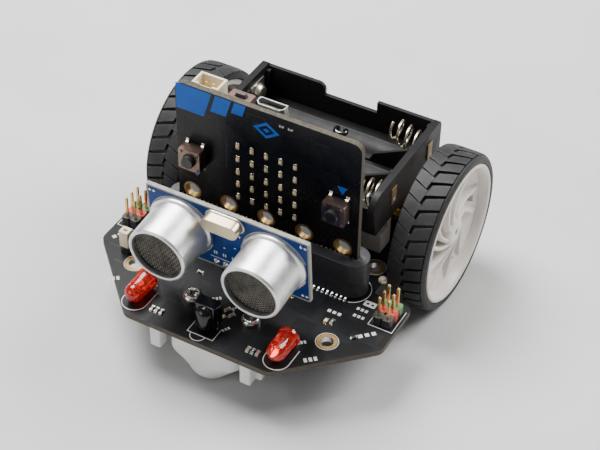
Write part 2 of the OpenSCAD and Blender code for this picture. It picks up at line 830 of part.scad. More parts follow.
chassis_board();
controller_board();
edge_socket();
socket_contacts();
led_matrix();
on_controller(-button_x, button_z) button_body();  // button_a_body
on_controller(-button_x, button_z) button_plunger();  // button_a_plunger
on_controller(button_x, button_z) button_body();  // button_b_body
on_controller(button_x, button_z) button_plunger();  // button_b_plunger
reset_body();
reset_plunger();
usb_socket();
cell_socket();
circuit_chips();
sonar_board();
sonar_cans();
sonar_inserts();
sonar_crystal();
sonar_pins();
sonar_socket();
led_lenses();
ir_receiver();
sensor_leads();
header_bases();
header_pins();
jumper_header();
jumper_cap();
caster_housing();
caster_ball();
caster_screws();
power_switch_body();
power_switch_slider();
buzzer();
motor_cans();
motor_end_caps();
gearbox_plates();
motor_brackets();
bracket_screws();
bracket_nuts();
pinion_shaft();  // right_motor_shaft
double_gear(0, gear_y, 0.45);  // right_first_gear
double_gear(1, 0, 0.45);  // right_second_gear
double_gear(2, gear_y, 0.45);  // right_third_gear
output_shaft();  // right_output_shaft
rim();  // right_rim
tyre();  // right_tyre
left() pinion_shaft();  // left_motor_shaft
left() double_gear(0, gear_y, 0.45);  // left_first_gear
left() double_gear(1, 0, 0.45);  // left_second_gear
left() double_gear(2, gear_y, 0.45);  // left_third_gear
left() output_shaft();  // left_output_shaft
turned() rim();  // left_rim
turned() tyre();  // left_tyre
battery_tray();
battery_springs();
battery_contacts();
tray_standoffs();
tray_screws();
battery_inlet();
line_sensors();
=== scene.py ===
"""Looks of the two wheel robot car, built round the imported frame. Pieces are drawn in millimetres."""
import math
import random

import bmesh
import bpy
from mathutils import Matrix, Vector
from mathutils.geometry import tessellate_polygon


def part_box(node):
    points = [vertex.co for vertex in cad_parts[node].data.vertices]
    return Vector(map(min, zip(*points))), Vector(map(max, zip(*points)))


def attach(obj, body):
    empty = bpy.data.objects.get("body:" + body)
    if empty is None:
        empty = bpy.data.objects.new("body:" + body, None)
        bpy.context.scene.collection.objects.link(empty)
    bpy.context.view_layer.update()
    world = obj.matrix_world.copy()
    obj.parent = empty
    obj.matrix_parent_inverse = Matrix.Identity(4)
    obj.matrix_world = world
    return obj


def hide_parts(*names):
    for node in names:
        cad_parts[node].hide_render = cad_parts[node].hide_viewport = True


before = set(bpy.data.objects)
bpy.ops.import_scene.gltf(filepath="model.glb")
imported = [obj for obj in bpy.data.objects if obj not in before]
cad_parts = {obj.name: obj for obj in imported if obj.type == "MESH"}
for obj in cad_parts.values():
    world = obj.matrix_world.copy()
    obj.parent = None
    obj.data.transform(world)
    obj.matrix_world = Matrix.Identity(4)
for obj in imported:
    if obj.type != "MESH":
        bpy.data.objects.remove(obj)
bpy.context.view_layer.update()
MM = 0.001
TAU = 2 * math.pi
random.seed(7)


def span(node):
    """Lowest and highest corner of a CAD node in millimetres."""
    lo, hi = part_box(node)
    return Vector(lo) / MM, Vector(hi) / MM


def middle(node):
    """Middle of a CAD node's box."""
    lo, hi = span(node)
    return (lo + hi) / 2


# ---------------------------------------------------------------- shapes

def shift(x=0, y=0, z=0):
    return Matrix.Translation((x, y, z))


def turn(degrees, axis):
    return Matrix.Rotation(math.radians(degrees), 4, axis)


IDENTITY = Matrix.Identity(4)
CORNERS = ((-1, -1), (1, -1), (1, 1), (-1, 1))


def circle(r, n=32, x=0, y=0):
    return [(x + r * math.cos(TAU * i / n), y + r * math.sin(TAU * i / n)) for i in range(n)]


def polar(r, degrees):
    return r * math.cos(math.radians(degrees)), r * math.sin(math.radians(degrees))


def arc(x, y, r, a0, a1, n=6):
    """n + 1 points between two angles in degrees."""
    points = [polar(r, a0 + (a1 - a0) * i / n) for i in range(n + 1)]
    return [(x + dx, y + dy) for dx, dy in points]


def rounded(w, h, r, x=0, y=0, n=5):
    a, b = w / 2 - r, h / 2 - r
    return (arc(x + a, y + b, r, 0, 90, n) + arc(x - a, y + b, r, 90, 180, n)
            + arc(x - a, y - b, r, 180, 270, n) + arc(x + a, y - b, r, 270, 360, n))


def stroke(points, width, closed=False):
    """Left and right edge of a line of that width."""
    pts = [Vector(p) for p in points]
    n, left, right = len(pts), [], []
    for i, p in enumerate(pts):
        before = pts[i - 1] if i or closed else None
        after = pts[(i + 1) % n] if i < n - 1 or closed else None
        d0 = (p - before).normalized() if before is not None else None
        d1 = (after - p).normalized() if after is not None else None
        d0, d1 = d0 or d1, d1 or d0
        t = (d0 + d1).normalized()
        normal = Vector((-t.y, t.x))
        reach = width / 2 / max(0.5, normal.dot(Vector((-d1.y, d1.x))))
        left.append(tuple(p + normal * reach))
        right.append(tuple(p - normal * reach))
    return left, right


def heading(pts, i):
    """Direction of a path at one of its points."""
    return (pts[min(i + 1, len(pts) - 1)] - pts[max(i - 1, 0)]).normalized()


def skin(count, m):
    """Faces over count rings of m points each, closed at both ends."""
    faces = [(i * m + k, i * m + (k + 1) % m, (i + 1) * m + (k + 1) % m, (i + 1) * m + k)
             for i in range(count - 1) for k in range(m)]
    return faces + [tuple(range(m - 1, -1, -1)), tuple(range((count - 1) * m, count * m))]


class Piece:
    """Collects solids in millimetres, and makes them one object that rides on a body."""

    def __init__(self, name, body, slot, gone=()):
        self.name, self.body, self.slot, self.gone = name, body, slot, gone
        self.verts, self.faces, self.face_mats, self.mats = [], [], [], []

    def number(self, mat):
        """Place of a material in this piece's list."""
        if mat not in self.mats:
            self.mats.append(mat)
        return self.mats.index(mat)

    def add(self, verts, faces, mat, place=IDENTITY):
        base = len(self.verts)
        self.verts += [place @ Vector(v) for v in verts]
        self.faces += [[base + i for i in f] for f in faces]
        self.face_mats += [self.number(mat)] * len(faces)

    def box(self, size, at, mat, place=IDENTITY, top=1.0):
        """A box centred in X and Y that stands on at, its top scaled by top."""
        x, y, z = size[0] / 2, size[1] / 2, size[2]
        verts = [(sx * x * k + at[0], sy * y * k + at[1], zz + at[2])
                 for zz, k in ((0, 1.0), (z, top)) for sx, sy in CORNERS]
        self.add(verts, skin(2, 4), mat, place)

    def slab(self, outline, z0, z1, mat, place=IDENTITY, holes=(), side=None):
        """An outline with holes, between two heights. side is the material of its walls."""
        loops = [list(outline)] + [list(h) for h in holes]
        flat = [p for loop in loops for p in loop]
        n = len(flat)
        verts = [(p[0], p[1], z0) for p in flat] + [(p[0], p[1], z1) for p in flat]
        if holes:
            tris = tessellate_polygon([[Vector((p[0], p[1], 0)) for p in loop] for loop in loops])
            caps = [tuple(t) for t in tris] + [tuple(i + n for i in reversed(t)) for t in tris]
        else:
            caps = [tuple(range(n)), tuple(range(2 * n - 1, n - 1, -1))]
        self.add(verts, caps, mat, place)
        start = len(self.verts) - 2 * n
        sides = side if isinstance(side, list) else [side] * len(loops)
        for loop, wall in zip(loops, sides):
            m = len(loop)
            for i in range(m):
                a, b = start + i, start + (i + 1) % m
                self.faces.append([a, b, b + n, a + n])
            self.face_mats += [self.number(wall or mat)] * m
            start += m

    def line(self, points, width, z0, z1, mat, place=IDENTITY, closed=False):
        left, right = stroke(points, width, closed)
        if closed:
            self.slab(left, z0, z1, mat, place, holes=[right])
        else:
            self.slab(left + right[::-1], z0, z1, mat, place)

    def lathe(self, profile, mat, place=IDENTITY, steps=48, closed=False):
        """Points (radius, height) turned about Z. A radius of 0 is a pole."""
        verts, rings, faces = [], [], []
        for r, z in profile:
            ring = [(x, y, z) for x, y in circle(r, steps)] if r > 1e-6 else [(0, 0, z)]
            rings.append(range(len(verts), len(verts) + len(ring)))
            verts += ring
        for a, b in list(zip(rings, rings[1:])) + ([(rings[-1], rings[0])] if closed else []):
            for i in range(steps):
                j = (i + 1) % steps
                if len(a) == 1 and len(b) > 1:
                    faces.append((a[0], b[j], b[i]))
                elif len(b) == 1 and len(a) > 1:
                    faces.append((a[i], a[j], b[0]))
                elif len(a) > 1:
                    faces.append((a[i], a[j], b[j], b[i]))
        self.add(verts, faces, mat, place)

    def tube(self, points, r, mat, place=IDENTITY, sides=10):
        """A round bar along points."""
        pts, verts = [Vector(p) for p in points], []
        u = heading(pts, 0).orthogonal().normalized()
        for i, p in enumerate(pts):
            d = heading(pts, i)
            u = (u - d * u.dot(d)).normalized()
            w = d.cross(u)
            verts += [p + u * a + w * b for a, b in circle(r, sides)]
        self.add(verts, skin(len(pts), sides), mat, place)

    def bar(self, points, w, t, mat, place=IDENTITY, flat=(0, 0, 1)):
        """A flat strip of width w and thickness t along points, its thickness nearest to flat."""
        pts, verts = [Vector(p) for p in points], []
        for i, p in enumerate(pts):
            d = heading(pts, i)
            across = d.cross(Vector(flat))
            if across.length < 1e-3:
                across = d.orthogonal()
            across.normalize()
            up = across.cross(d).normalized()
            verts += [p + across * (a * w / 2) + up * (b * t / 2) for a, b in CORNERS]
        self.add(verts, skin(len(pts), 4), mat, place)

    def done(self, bevel, segments=2, angle=32):
        """Makes the object, with its edges rounded by bevel, or sharp above angle where bevel is 0."""
        me = bpy.data.meshes.new(self.name)
        me.from_pydata([tuple(v * MM for v in p) for p in self.verts], [], self.faces)
        for m in self.mats:
            me.materials.append(m)
        me.polygons.foreach_set("material_index", self.face_mats)
        bm = bmesh.new()
        bm.from_mesh(me)
        bmesh.ops.recalc_face_normals(bm, faces=bm.faces)
        bm.to_mesh(me)
        bm.free()
        me.shade_smooth()
        ob = bpy.data.objects.new(self.name, me)
        bpy.context.scene.collection.objects.link(ob)
        if bevel:
            round_edges(ob, bevel, segments, angle)
        else:
            me.set_sharp_from_angle(angle=math.radians(angle))
        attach(ob, self.body)
        if self.gone:
            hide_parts(*self.gone)


def detail(node, slot, body="chassis"):
    """A piece that stands for a CAD node."""
    return Piece(f"{node}_detail", body, slot, [node])


def round_edges(ob, width, segments, angle=32):
    mod = ob.modifiers.new("round", "BEVEL")
    mod.width = width * MM
    mod.segments = segments
    mod.limit_method = "ANGLE"
    mod.angle_limit = math.radians(angle)
    mod.harden_normals = True
    mod.use_clamp_overlap = True


def dress(node, mats, bevel=0.0, segments=2):
    """Gives a CAD node its finish, and rounds its sharp edges."""
    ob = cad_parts[node]
    mats = mats if isinstance(mats, list) else [mats]
    slots = ob.material_slots
    for i in range(max(len(slots), 1)):
        m = mats[min(i, len(mats) - 1)]
        if i < len(slots):
            slots[i].material = m
        else:
            ob.data.materials.append(m)
    if bevel:
        weld = ob.modifiers.new("weld", "WELD")
        weld.merge_threshold = 0.000002
        round_edges(ob, bevel, segments)


# ---------------------------------------------------------------- materials

class Nodes:
    """A material's nodes, with its coordinates in millimetres on the piece."""

    def __init__(self, name):
        self.mat = bpy.data.materials.new(name)
        self.mat.use_nodes = True
        self.tree = self.mat.node_tree
        self.shader = self.tree.nodes["Principled BSDF"]
        coords = self.new("ShaderNodeTexCoord")
        scale = self.new("ShaderNodeVectorMath", operation="SCALE")
        scale.inputs["Scale"].default_value = 1 / MM
        self.link(coords.outputs["Object"], scale.inputs[0])
        self.mm = scale.outputs[0]

    def new(self, kind, **values):
        node = self.tree.nodes.new(kind)
        for k, v in values.items():
            setattr(node, k, v)
        return node

    def link(self, a, b):
        self.tree.links.new(a, b)

    def noise(self, scale, detail=3.0, rough=0.55, stretch=None):
        tex = self.new("ShaderNodeTexNoise")
        tex.inputs["Scale"].default_value = scale
        tex.inputs["Detail"].default_value = detail
        tex.inputs["Roughness"].default_value = rough
        vector = self.mm
        if stretch:
            m = self.new("ShaderNodeMapping")
            m.inputs["Scale"].default_value = stretch
            self.link(vector, m.inputs["Vector"])
            vector = m.outputs["Vector"]
        self.link(vector, tex.inputs["Vector"])
        return tex.outputs["Fac"]

    def ramp(self, value, a, b, lo=0.0, hi=1.0):
        m = self.new("ShaderNodeMapRange")
        m.inputs["From Min"].default_value = a
        m.inputs["From Max"].default_value = b
        m.inputs["To Min"].default_value = lo
        m.inputs["To Max"].default_value = hi
        self.link(value, m.inputs["Value"])
        return m.outputs["Result"]

    def math(self, op, a, b):
        m = self.new("ShaderNodeMath", operation=op)
        for i, v in enumerate((a, b)):
            if isinstance(v, (int, float)):
                m.inputs[i].default_value = v
            else:
                self.link(v, m.inputs[i])
        return m.outputs[0]

    def mix(self, fac, a, b):
        m = self.new("ShaderNodeMix", data_type="RGBA")
        for sock, v in ((m.inputs[6], a), (m.inputs[7], b)):
            if isinstance(v, (tuple, list)):
                sock.default_value = (*v[:3], 1)
            else:
                self.link(v, sock)
        self.link(fac, m.inputs[0])
        return m.outputs[2]

    def edges(self, low=0.52, high=0.62):
        g = self.new("ShaderNodeNewGeometry")
        return self.ramp(g.outputs["Pointiness"], low, high)

    def bump(self, height, depth, under=None):
        b = self.new("ShaderNodeBump")
        b.inputs["Strength"].default_value = 1.0
        b.inputs["Distance"].default_value = depth * MM
        self.link(height, b.inputs["Height"])
        if under is not None:
            self.link(under, b.inputs["Normal"])
        return b.outputs["Normal"]

    def end(self, color, rough, normal, **values):
        """Connects the shader, and sets its constants."""
        names = {"rough": "Roughness", "metal": "Metallic", "spec": "Specular IOR Level", "ior": "IOR",
                 "glass": "Transmission Weight", "sss": "Subsurface Weight", "sss_scale": "Subsurface Scale"}
        if isinstance(rough, float):
            values["rough"] = rough
        else:
            self.link(rough, self.shader.inputs["Roughness"])
        for k, v in values.items():
            self.shader.inputs[names[k]].default_value = v
        self.link(color, self.shader.inputs["Base Color"])
        self.link(normal, self.shader.inputs["Normal"])
        return self.mat


def tone(c, k):
    return tuple(min(1.0, max(0.0, x * k)) for x in c)


def moulded(name, c, rough=0.45, grain=0.02, grain_scale=6.0, spread=0.12, edge=None, dust=0.0, **kw):
    """Moulded plastic: fine grain, slight mottling, worn edges and a little dust."""
    n = Nodes(name)
    big, fine = n.noise(0.22, 5), n.noise(grain_scale, 3, 0.6)
    col = n.mix(n.ramp(big, 0.3, 0.7), tone(c, 1 - spread), tone(c, 1 + spread))
    if dust:
        specks = n.ramp(n.noise(2.3, 6, 0.75), 0.56, 0.75, 0, dust)
        col = n.mix(specks, col, (0.42, 0.41, 0.39))
    if edge:
        worn = n.math("MULTIPLY", n.edges(), n.ramp(n.noise(1.3, 4, 0.7), 0.4, 0.65))
        col = n.mix(worn, col, edge)
    r = n.math("ADD", n.ramp(big, 0.3, 0.7, rough - 0.06, rough + 0.06), n.ramp(fine, 0.3, 0.7, -0.03, 0.03))
    return n.end(col, r, n.bump(fine, grain), **kw)


def metal(name, c, rough=0.3, brushed=(1, 1, 1), spread=0.1, grain=0.006, stain=None):
    """Metal with fine scratches, drawn out along one axis where it is brushed, and stains."""
    n = Nodes(name)
    lines = n.noise(3.0, 4, 0.7, stretch=brushed)
    big = n.noise(0.35, 5, 0.6)
    col = n.mix(n.ramp(big, 0.3, 0.7), tone(c, 1 - spread), tone(c, 1 + spread))
    if stain:
        col = n.mix(n.ramp(n.noise(0.8, 6, 0.7), 0.52, 0.7, 0, 0.7), col, stain)
    r = n.math("ADD", n.ramp(lines, 0.3, 0.7, rough - 0.07, rough + 0.07), n.ramp(big, 0.3, 0.7, -0.04, 0.04))
    return n.end(col, r, n.bump(lines, grain), metal=1.0)


def solder_mask(name, c, copper, rough):
    """Solder mask over etched copper, a little lighter over the copper, with a faint orange peel."""
    n = Nodes(name)
    big, peel = n.noise(0.12, 4), n.noise(1.6, 3, 0.5)
    brick = n.new("ShaderNodeTexVoronoi", feature="F1", distance="CHEBYCHEV")
    brick.inputs["Scale"].default_value = 0.16
    n.link(n.mm, brick.inputs["Vector"])
    pour = n.ramp(brick.outputs["Distance"], 0.42, 0.46)
    col = n.mix(n.math("MULTIPLY", pour, 0.5), c, copper)
    col = n.mix(n.ramp(n.noise(3.5, 6, 0.75), 0.6, 0.8, 0, 0.12), col, (0.4, 0.39, 0.37))
    r = n.ramp(big, 0.3, 0.7, rough - 0.06, rough + 0.08)
    return n.end(col, r, n.bump(peel, 0.006, under=n.bump(pour, 0.02)), spec=0.2)


def fibre_edge(name, a, b):
    """The sawn edge of a laminated board: thin resin and glass layers."""
    n = Nodes(name)
    wave = n.noise(2.2, 4, 0.7, stretch=(0.35, 0.35, 5.0))
    col = n.mix(n.ramp(wave, 0.35, 0.65), a, b)
    return n.end(col, 0.7, n.bump(wave, 0.05))


def rubber(name):
    """Black rubber, greyer where it is scuffed and dusty."""
    n = Nodes(name)
    big, fine = n.noise(0.25, 5, 0.6), n.noise(5.0, 4, 0.65)
    base = n.mix(n.ramp(big, 0.3, 0.7), (0.0105, 0.0105, 0.0115), (0.019, 0.019, 0.0205))
    scuff = n.math("MULTIPLY", n.edges(0.5, 0.6), n.ramp(n.noise(1.1, 5, 0.75), 0.42, 0.62))
    col = n.mix(scuff, base, (0.06, 0.059, 0.058))
    col = n.mix(n.ramp(n.noise(2.6, 6, 0.75), 0.58, 0.78, 0, 0.25), col, (0.09, 0.086, 0.082))
    return n.end(col, n.ramp(fine, 0.3, 0.7, 0.5, 0.64), n.bump(fine, 0.04), spec=0.35)


MASK = solder_mask("mask_black", (0.0065, 0.0067, 0.0075), (0.014, 0.0145, 0.016), 0.4)
CTRL_MASK = solder_mask("mask_controller", (0.005, 0.005, 0.0055), (0.009, 0.009, 0.01), 0.26)
BLUE_MASK = solder_mask("mask_blue", (0.004, 0.032, 0.16), (0.007, 0.05, 0.22), 0.34)
FIBRE = fibre_edge("board_edge", (0.028, 0.022, 0.014), (0.085, 0.068, 0.043))
PALE_FIBRE = fibre_edge("board_edge_pale", (0.2, 0.2, 0.17), (0.36, 0.355, 0.31))
SILK = moulded("silk_ink", (0.62, 0.62, 0.6), 0.7, 0.02, 9.0, 0.15)
BLUE_INK = moulded("blue_ink", (0.001, 0.095, 0.45), 0.55, 0.004, 6.0, 0.1, spec=0.25)
GOLD = metal("gold_plate", (0.82, 0.56, 0.22), 0.28, stain=(0.66, 0.43, 0.17))
# gold darkened as painted shade, for plated rings and hole walls that lie in shade
SHADED_GOLD = metal("gold_in_shade", (0.4, 0.26, 0.1), 0.42, stain=(0.25, 0.15, 0.06))
BRASS = metal("brass_machined", (0.66, 0.44, 0.16), 0.3, stain=(0.36, 0.22, 0.08))
OLD_BRASS = metal("brass_tab", (0.3, 0.2, 0.085), 0.42, stain=(0.1, 0.07, 0.04), spread=0.3)
TIN = metal("tinned", (0.72, 0.72, 0.71), 0.34, stain=(0.5, 0.5, 0.49))
SOLDER = metal("solder", (0.72, 0.73, 0.74), 0.22, spread=0.16, grain=0.012)
STEEL = metal("steel_plated", (0.56, 0.555, 0.545), 0.24, stain=(0.42, 0.41, 0.4))
NICKEL = metal("screw_nickel", (0.6, 0.59, 0.565), 0.2, spread=0.06, grain=0.001)
# near-black steel: its darkness is painted shade of the hole the tray screws sit in
SHADED_STEEL = metal("screw_painted_shade", (0.1, 0.1, 0.1), 0.2, spread=0.1, grain=0.003)
CHROME = metal("ball_steel", (0.8, 0.8, 0.8), 0.12)
ALU = metal("can_aluminium", (0.76, 0.76, 0.75), 0.41, brushed=(2.2, 0.5, 2.2), spread=0.13, grain=0.012)
# the can's aluminium darkened as painted shade, for the rim and inner wall of each mouth
SHADED_LIP = metal("can_lip_shaded", (0.56, 0.56, 0.56), 0.42, spread=0.12, grain=0.012)
MESH_WIRE = metal("mesh_wire", (0.125, 0.115, 0.1), 0.3, spread=0.4)
BRONZE = metal("switch_cover", (0.23, 0.155, 0.128), 0.38, brushed=(6, 0.5, 0.5), spread=0.15,
               stain=(0.13, 0.085, 0.07))
BLACK = moulded("black_moulded", (0.011, 0.011, 0.012), 0.42, 0.012, 7.0, edge=(0.06, 0.06, 0.06))
SOCKET = moulded("socket_moulded", (0.017, 0.0175, 0.021), 0.48, 0.02, 4.5, edge=(0.08, 0.08, 0.085),
                 dust=0.1)
GLOSS_BLACK = moulded("black_epoxy", (0.004, 0.004, 0.0045), 0.16, 0.001, 2.0, spec=0.4)
TRAY = moulded("tray_moulded", (0.009, 0.0088, 0.009), 0.5, 0.001, 1.0, spec=0.22)
WHITE = moulded("white_nylon", (0.7, 0.7, 0.68), 0.4, 0.012, 4.0, 0.05, sss=0.15, sss_scale=0.001)
RIM = moulded("rim_white", (0.68, 0.63, 0.58), 0.36, 0.002, 2.0, 0.04)
CREAM = moulded("cream_nylon", (0.72, 0.64, 0.46), 0.42, 0.015, 5.0, 0.06, sss=0.1, sss_scale=0.0008)
CERAMIC = moulded("chip_ceramic", (0.26, 0.19, 0.13), 0.5, 0.01, 9.0, 0.2)
CHIP = moulded("chip_package", (0.014, 0.014, 0.015), 0.55, 0.02, 10.0)
PHOSPHOR = moulded("lamp_lens", (0.8, 0.7, 0.42), 0.3, 0.006, 9.0, 0.08, sss=0.1, sss_scale=0.0004)
HEADER = {"black": moulded("header_black", (0.012, 0.012, 0.0125), 0.4, 0.015, 8.0, edge=(0.08, 0.08, 0.08)),
          "red": moulded("header_red", (0.5, 0.028, 0.022), 0.4, 0.015, 8.0, edge=(0.65, 0.16, 0.13)),
          "green": moulded("header_green", (0.07, 0.21, 0.055), 0.4, 0.015, 8.0, edge=(0.25, 0.42, 0.22))}
COPPER = metal("winding", (0.55, 0.25, 0.12), 0.35)
BROWN = moulded("brown_moulded", (0.09, 0.06, 0.052), 0.4, 0.01, 7.0)
CREAM_METAL = metal("leg_plating", (0.8, 0.72, 0.55), 0.3)
SPRING_WIRE = metal("spring_plating", (0.78, 0.7, 0.56), 0.24, spread=0.05)
CRYSTAL = metal("crystal_can", (0.64, 0.53, 0.36), 0.34, brushed=(0.5, 4, 4), spread=0.07)
RESET_COVER = metal("reset_cover", (0.17, 0.115, 0.098), 0.46, spread=0.1)
RUBBER = rubber("tyre_rubber")


def lens_material():
    """Clear red epoxy, tinted right through."""
    n = Nodes("red_epoxy")
    col = n.mix(n.ramp(n.noise(0.5, 3), 0.3, 0.7), (0.95, 0.022, 0.014), (1.0, 0.05, 0.025))
    return n.end(col, n.ramp(n.noise(2.0, 4), 0.3, 0.7, 0.03, 0.09), n.bump(n.noise(1.2, 2), 0.006),
                 glass=0.8, ior=1.5)


RED_LENS = lens_material()

# ---------------------------------------------------------------- anchors

board_lo, board_hi = span("chassis_board")
TOP, BOTTOM = board_hi.z, board_lo.z
FRONT, REAR, EAR = board_lo.y, board_hi.y, board_hi.x
ctrl_lo, ctrl_hi = span("controller_board")
AXLE_Y = 20.5
BRACKET_X = span("bracket_screws")[1].x - 1.8
BRACKET_Y = (AXLE_Y - 9, AXLE_Y + 9)
MOUNT_HOLES = ((27.8, -25.9), (25.8, 3.4))
TRAY_Y, TRAY_SCREW_Y = 20.2, 13.3
CASTER_SCREW = (8.4, -29.3)
LAMP_X = 20.3
CAN_X = 12.95
HEADER_X, HEADER_Y = 36.8, -11.2
PITCH = 2.54                 # of header pins
PAD_PITCH = 10.85            # of the controller's big edge pads
EDGE_PITCH = 1.27            # of its small ones
PINS = [PITCH * k for k in (-1.5, -0.5, 0.5, 1.5)]
SILK_T = 0.04                # printed ink
INK_T = 0.05                 # ink and gold on the controller
SENSOR_T = 1.1               # the sensor's board
SENSOR_Y, SENSOR_Z, SENSOR_LEAN = -25.7, 19.6, 4.9
UNDER = shift(0, 0, BOTTOM) @ turn(180, "Y")


def beneath(x, y):
    """Frame on the underside of the chassis board, Z down."""
    return shift(x, y, BOTTOM) @ turn(180, "X")


def on_controller(x, z):
    """Frame on the controller's front face: X right, Y up, Z out towards the front."""
    return shift(x, ctrl_lo.y, z) @ turn(90, "X")


def behind_controller(x, z):
    """The same on its rear face, Z out towards the rear."""
    return shift(x, ctrl_hi.y, z) @ turn(180, "Z") @ turn(90, "X")


def smd(p, x, y, kind="R", angle=0.0, size=(1.6, 0.8, 0.45), place=IDENTITY, z=0.0):
    """A small surface mount part with its end caps and solder, long along X."""
    base = place @ shift(x, y, z) @ turn(angle, "Z")
    l, w, t = size
    body = {"R": CHIP, "C": CERAMIC, "D": BLACK, "L": PHOSPHOR}[kind]
    p.box((l * 0.62, w * 0.98, t * 0.96), (0, 0, 0.02), body, base)
    for s in (-1, 1):
        p.box((l * 0.2, w, t), (s * l * 0.4, 0, 0), TIN if kind != "L" else GOLD, base)
        p.box((l * 0.22, w * 1.1, 0.12), (s * l * 0.56, 0, 0), SOLDER, base, top=0.7)
    if kind == "R":
        p.box((l * 0.34, w * 0.5, 0.02), (0, 0, t), SILK, base)


def soic(p, x, y, pins, body=(3.9, 8.6, 1.5), pitch=1.27, place=IDENTITY, angle=0.0, four_sides=False):
    """A chip with gull wing legs along its two long sides, or on four."""
    base = place @ shift(x, y, 0) @ turn(angle, "Z")
    p.box((body[0], body[1], body[2] - 0.1), (0, 0, 0.1), CHIP, base, top=0.96)
    p.lathe([(0.001, 0), (0.28, 0), (0.28, 0.012), (0, 0.012)], BLACK,
            base @ shift(-body[0] / 2 + 0.7, body[1] / 2 - 0.8, body[2]), 16)
    for quarter in ((0, 90) if four_sides else (0,)):
        q = base @ turn(quarter, "Z")
        half = (body[0] if quarter == 0 else body[1]) / 2
        for i in range(pins):
            yy = (i - (pins - 1) / 2) * pitch
            for s in (-1, 1):
                p.bar([(s * (half - 0.1), yy, body[2] * 0.55), (s * (half + 0.25), yy, body[2] * 0.55),
                       (s * (half + 0.45), yy, 0.12), (s * (half + 0.95), yy, 0.08)],
                      min(0.42, pitch * 0.45), 0.15, TIN, q)


# ---------------------------------------------------------------- chassis board

def chassis_outline():
    r, nose, rear = 3.0, 20.5, 30.0
    k = r * math.tan(math.radians(22.5))
    ear_front = FRONT + (EAR - nose)
    half = (arc(nose - k, FRONT + r, r, -90, -45, 5) + arc(EAR - r, ear_front + k, r, -45, 0, 5)
            + arc(EAR - 2, -7, 2, 0, 90, 5) + [(rear, -5)] + arc(rear - 3, REAR - 3, 3, 0, 90, 5))
    return half + [(-x, y) for x, y in reversed(half)]


def u_mark(x, y, r, back):
    """Horse-shoe outline round a lamp, open to the rear."""
    return [(x - r, y + back)] + arc(x, y, r, 180, 360, 14) + [(x + r, y + back)]


def label(p, x, y, w, h, angle):
    """Three plain printed ticks where a board would carry a caption."""
    for i in (-1, 0, 1):
        p.box((w / 3 * 0.62, h, SILK_T), (i * w / 3, 0, 0), SILK, shift(x, y, TOP) @ turn(angle, "Z"))


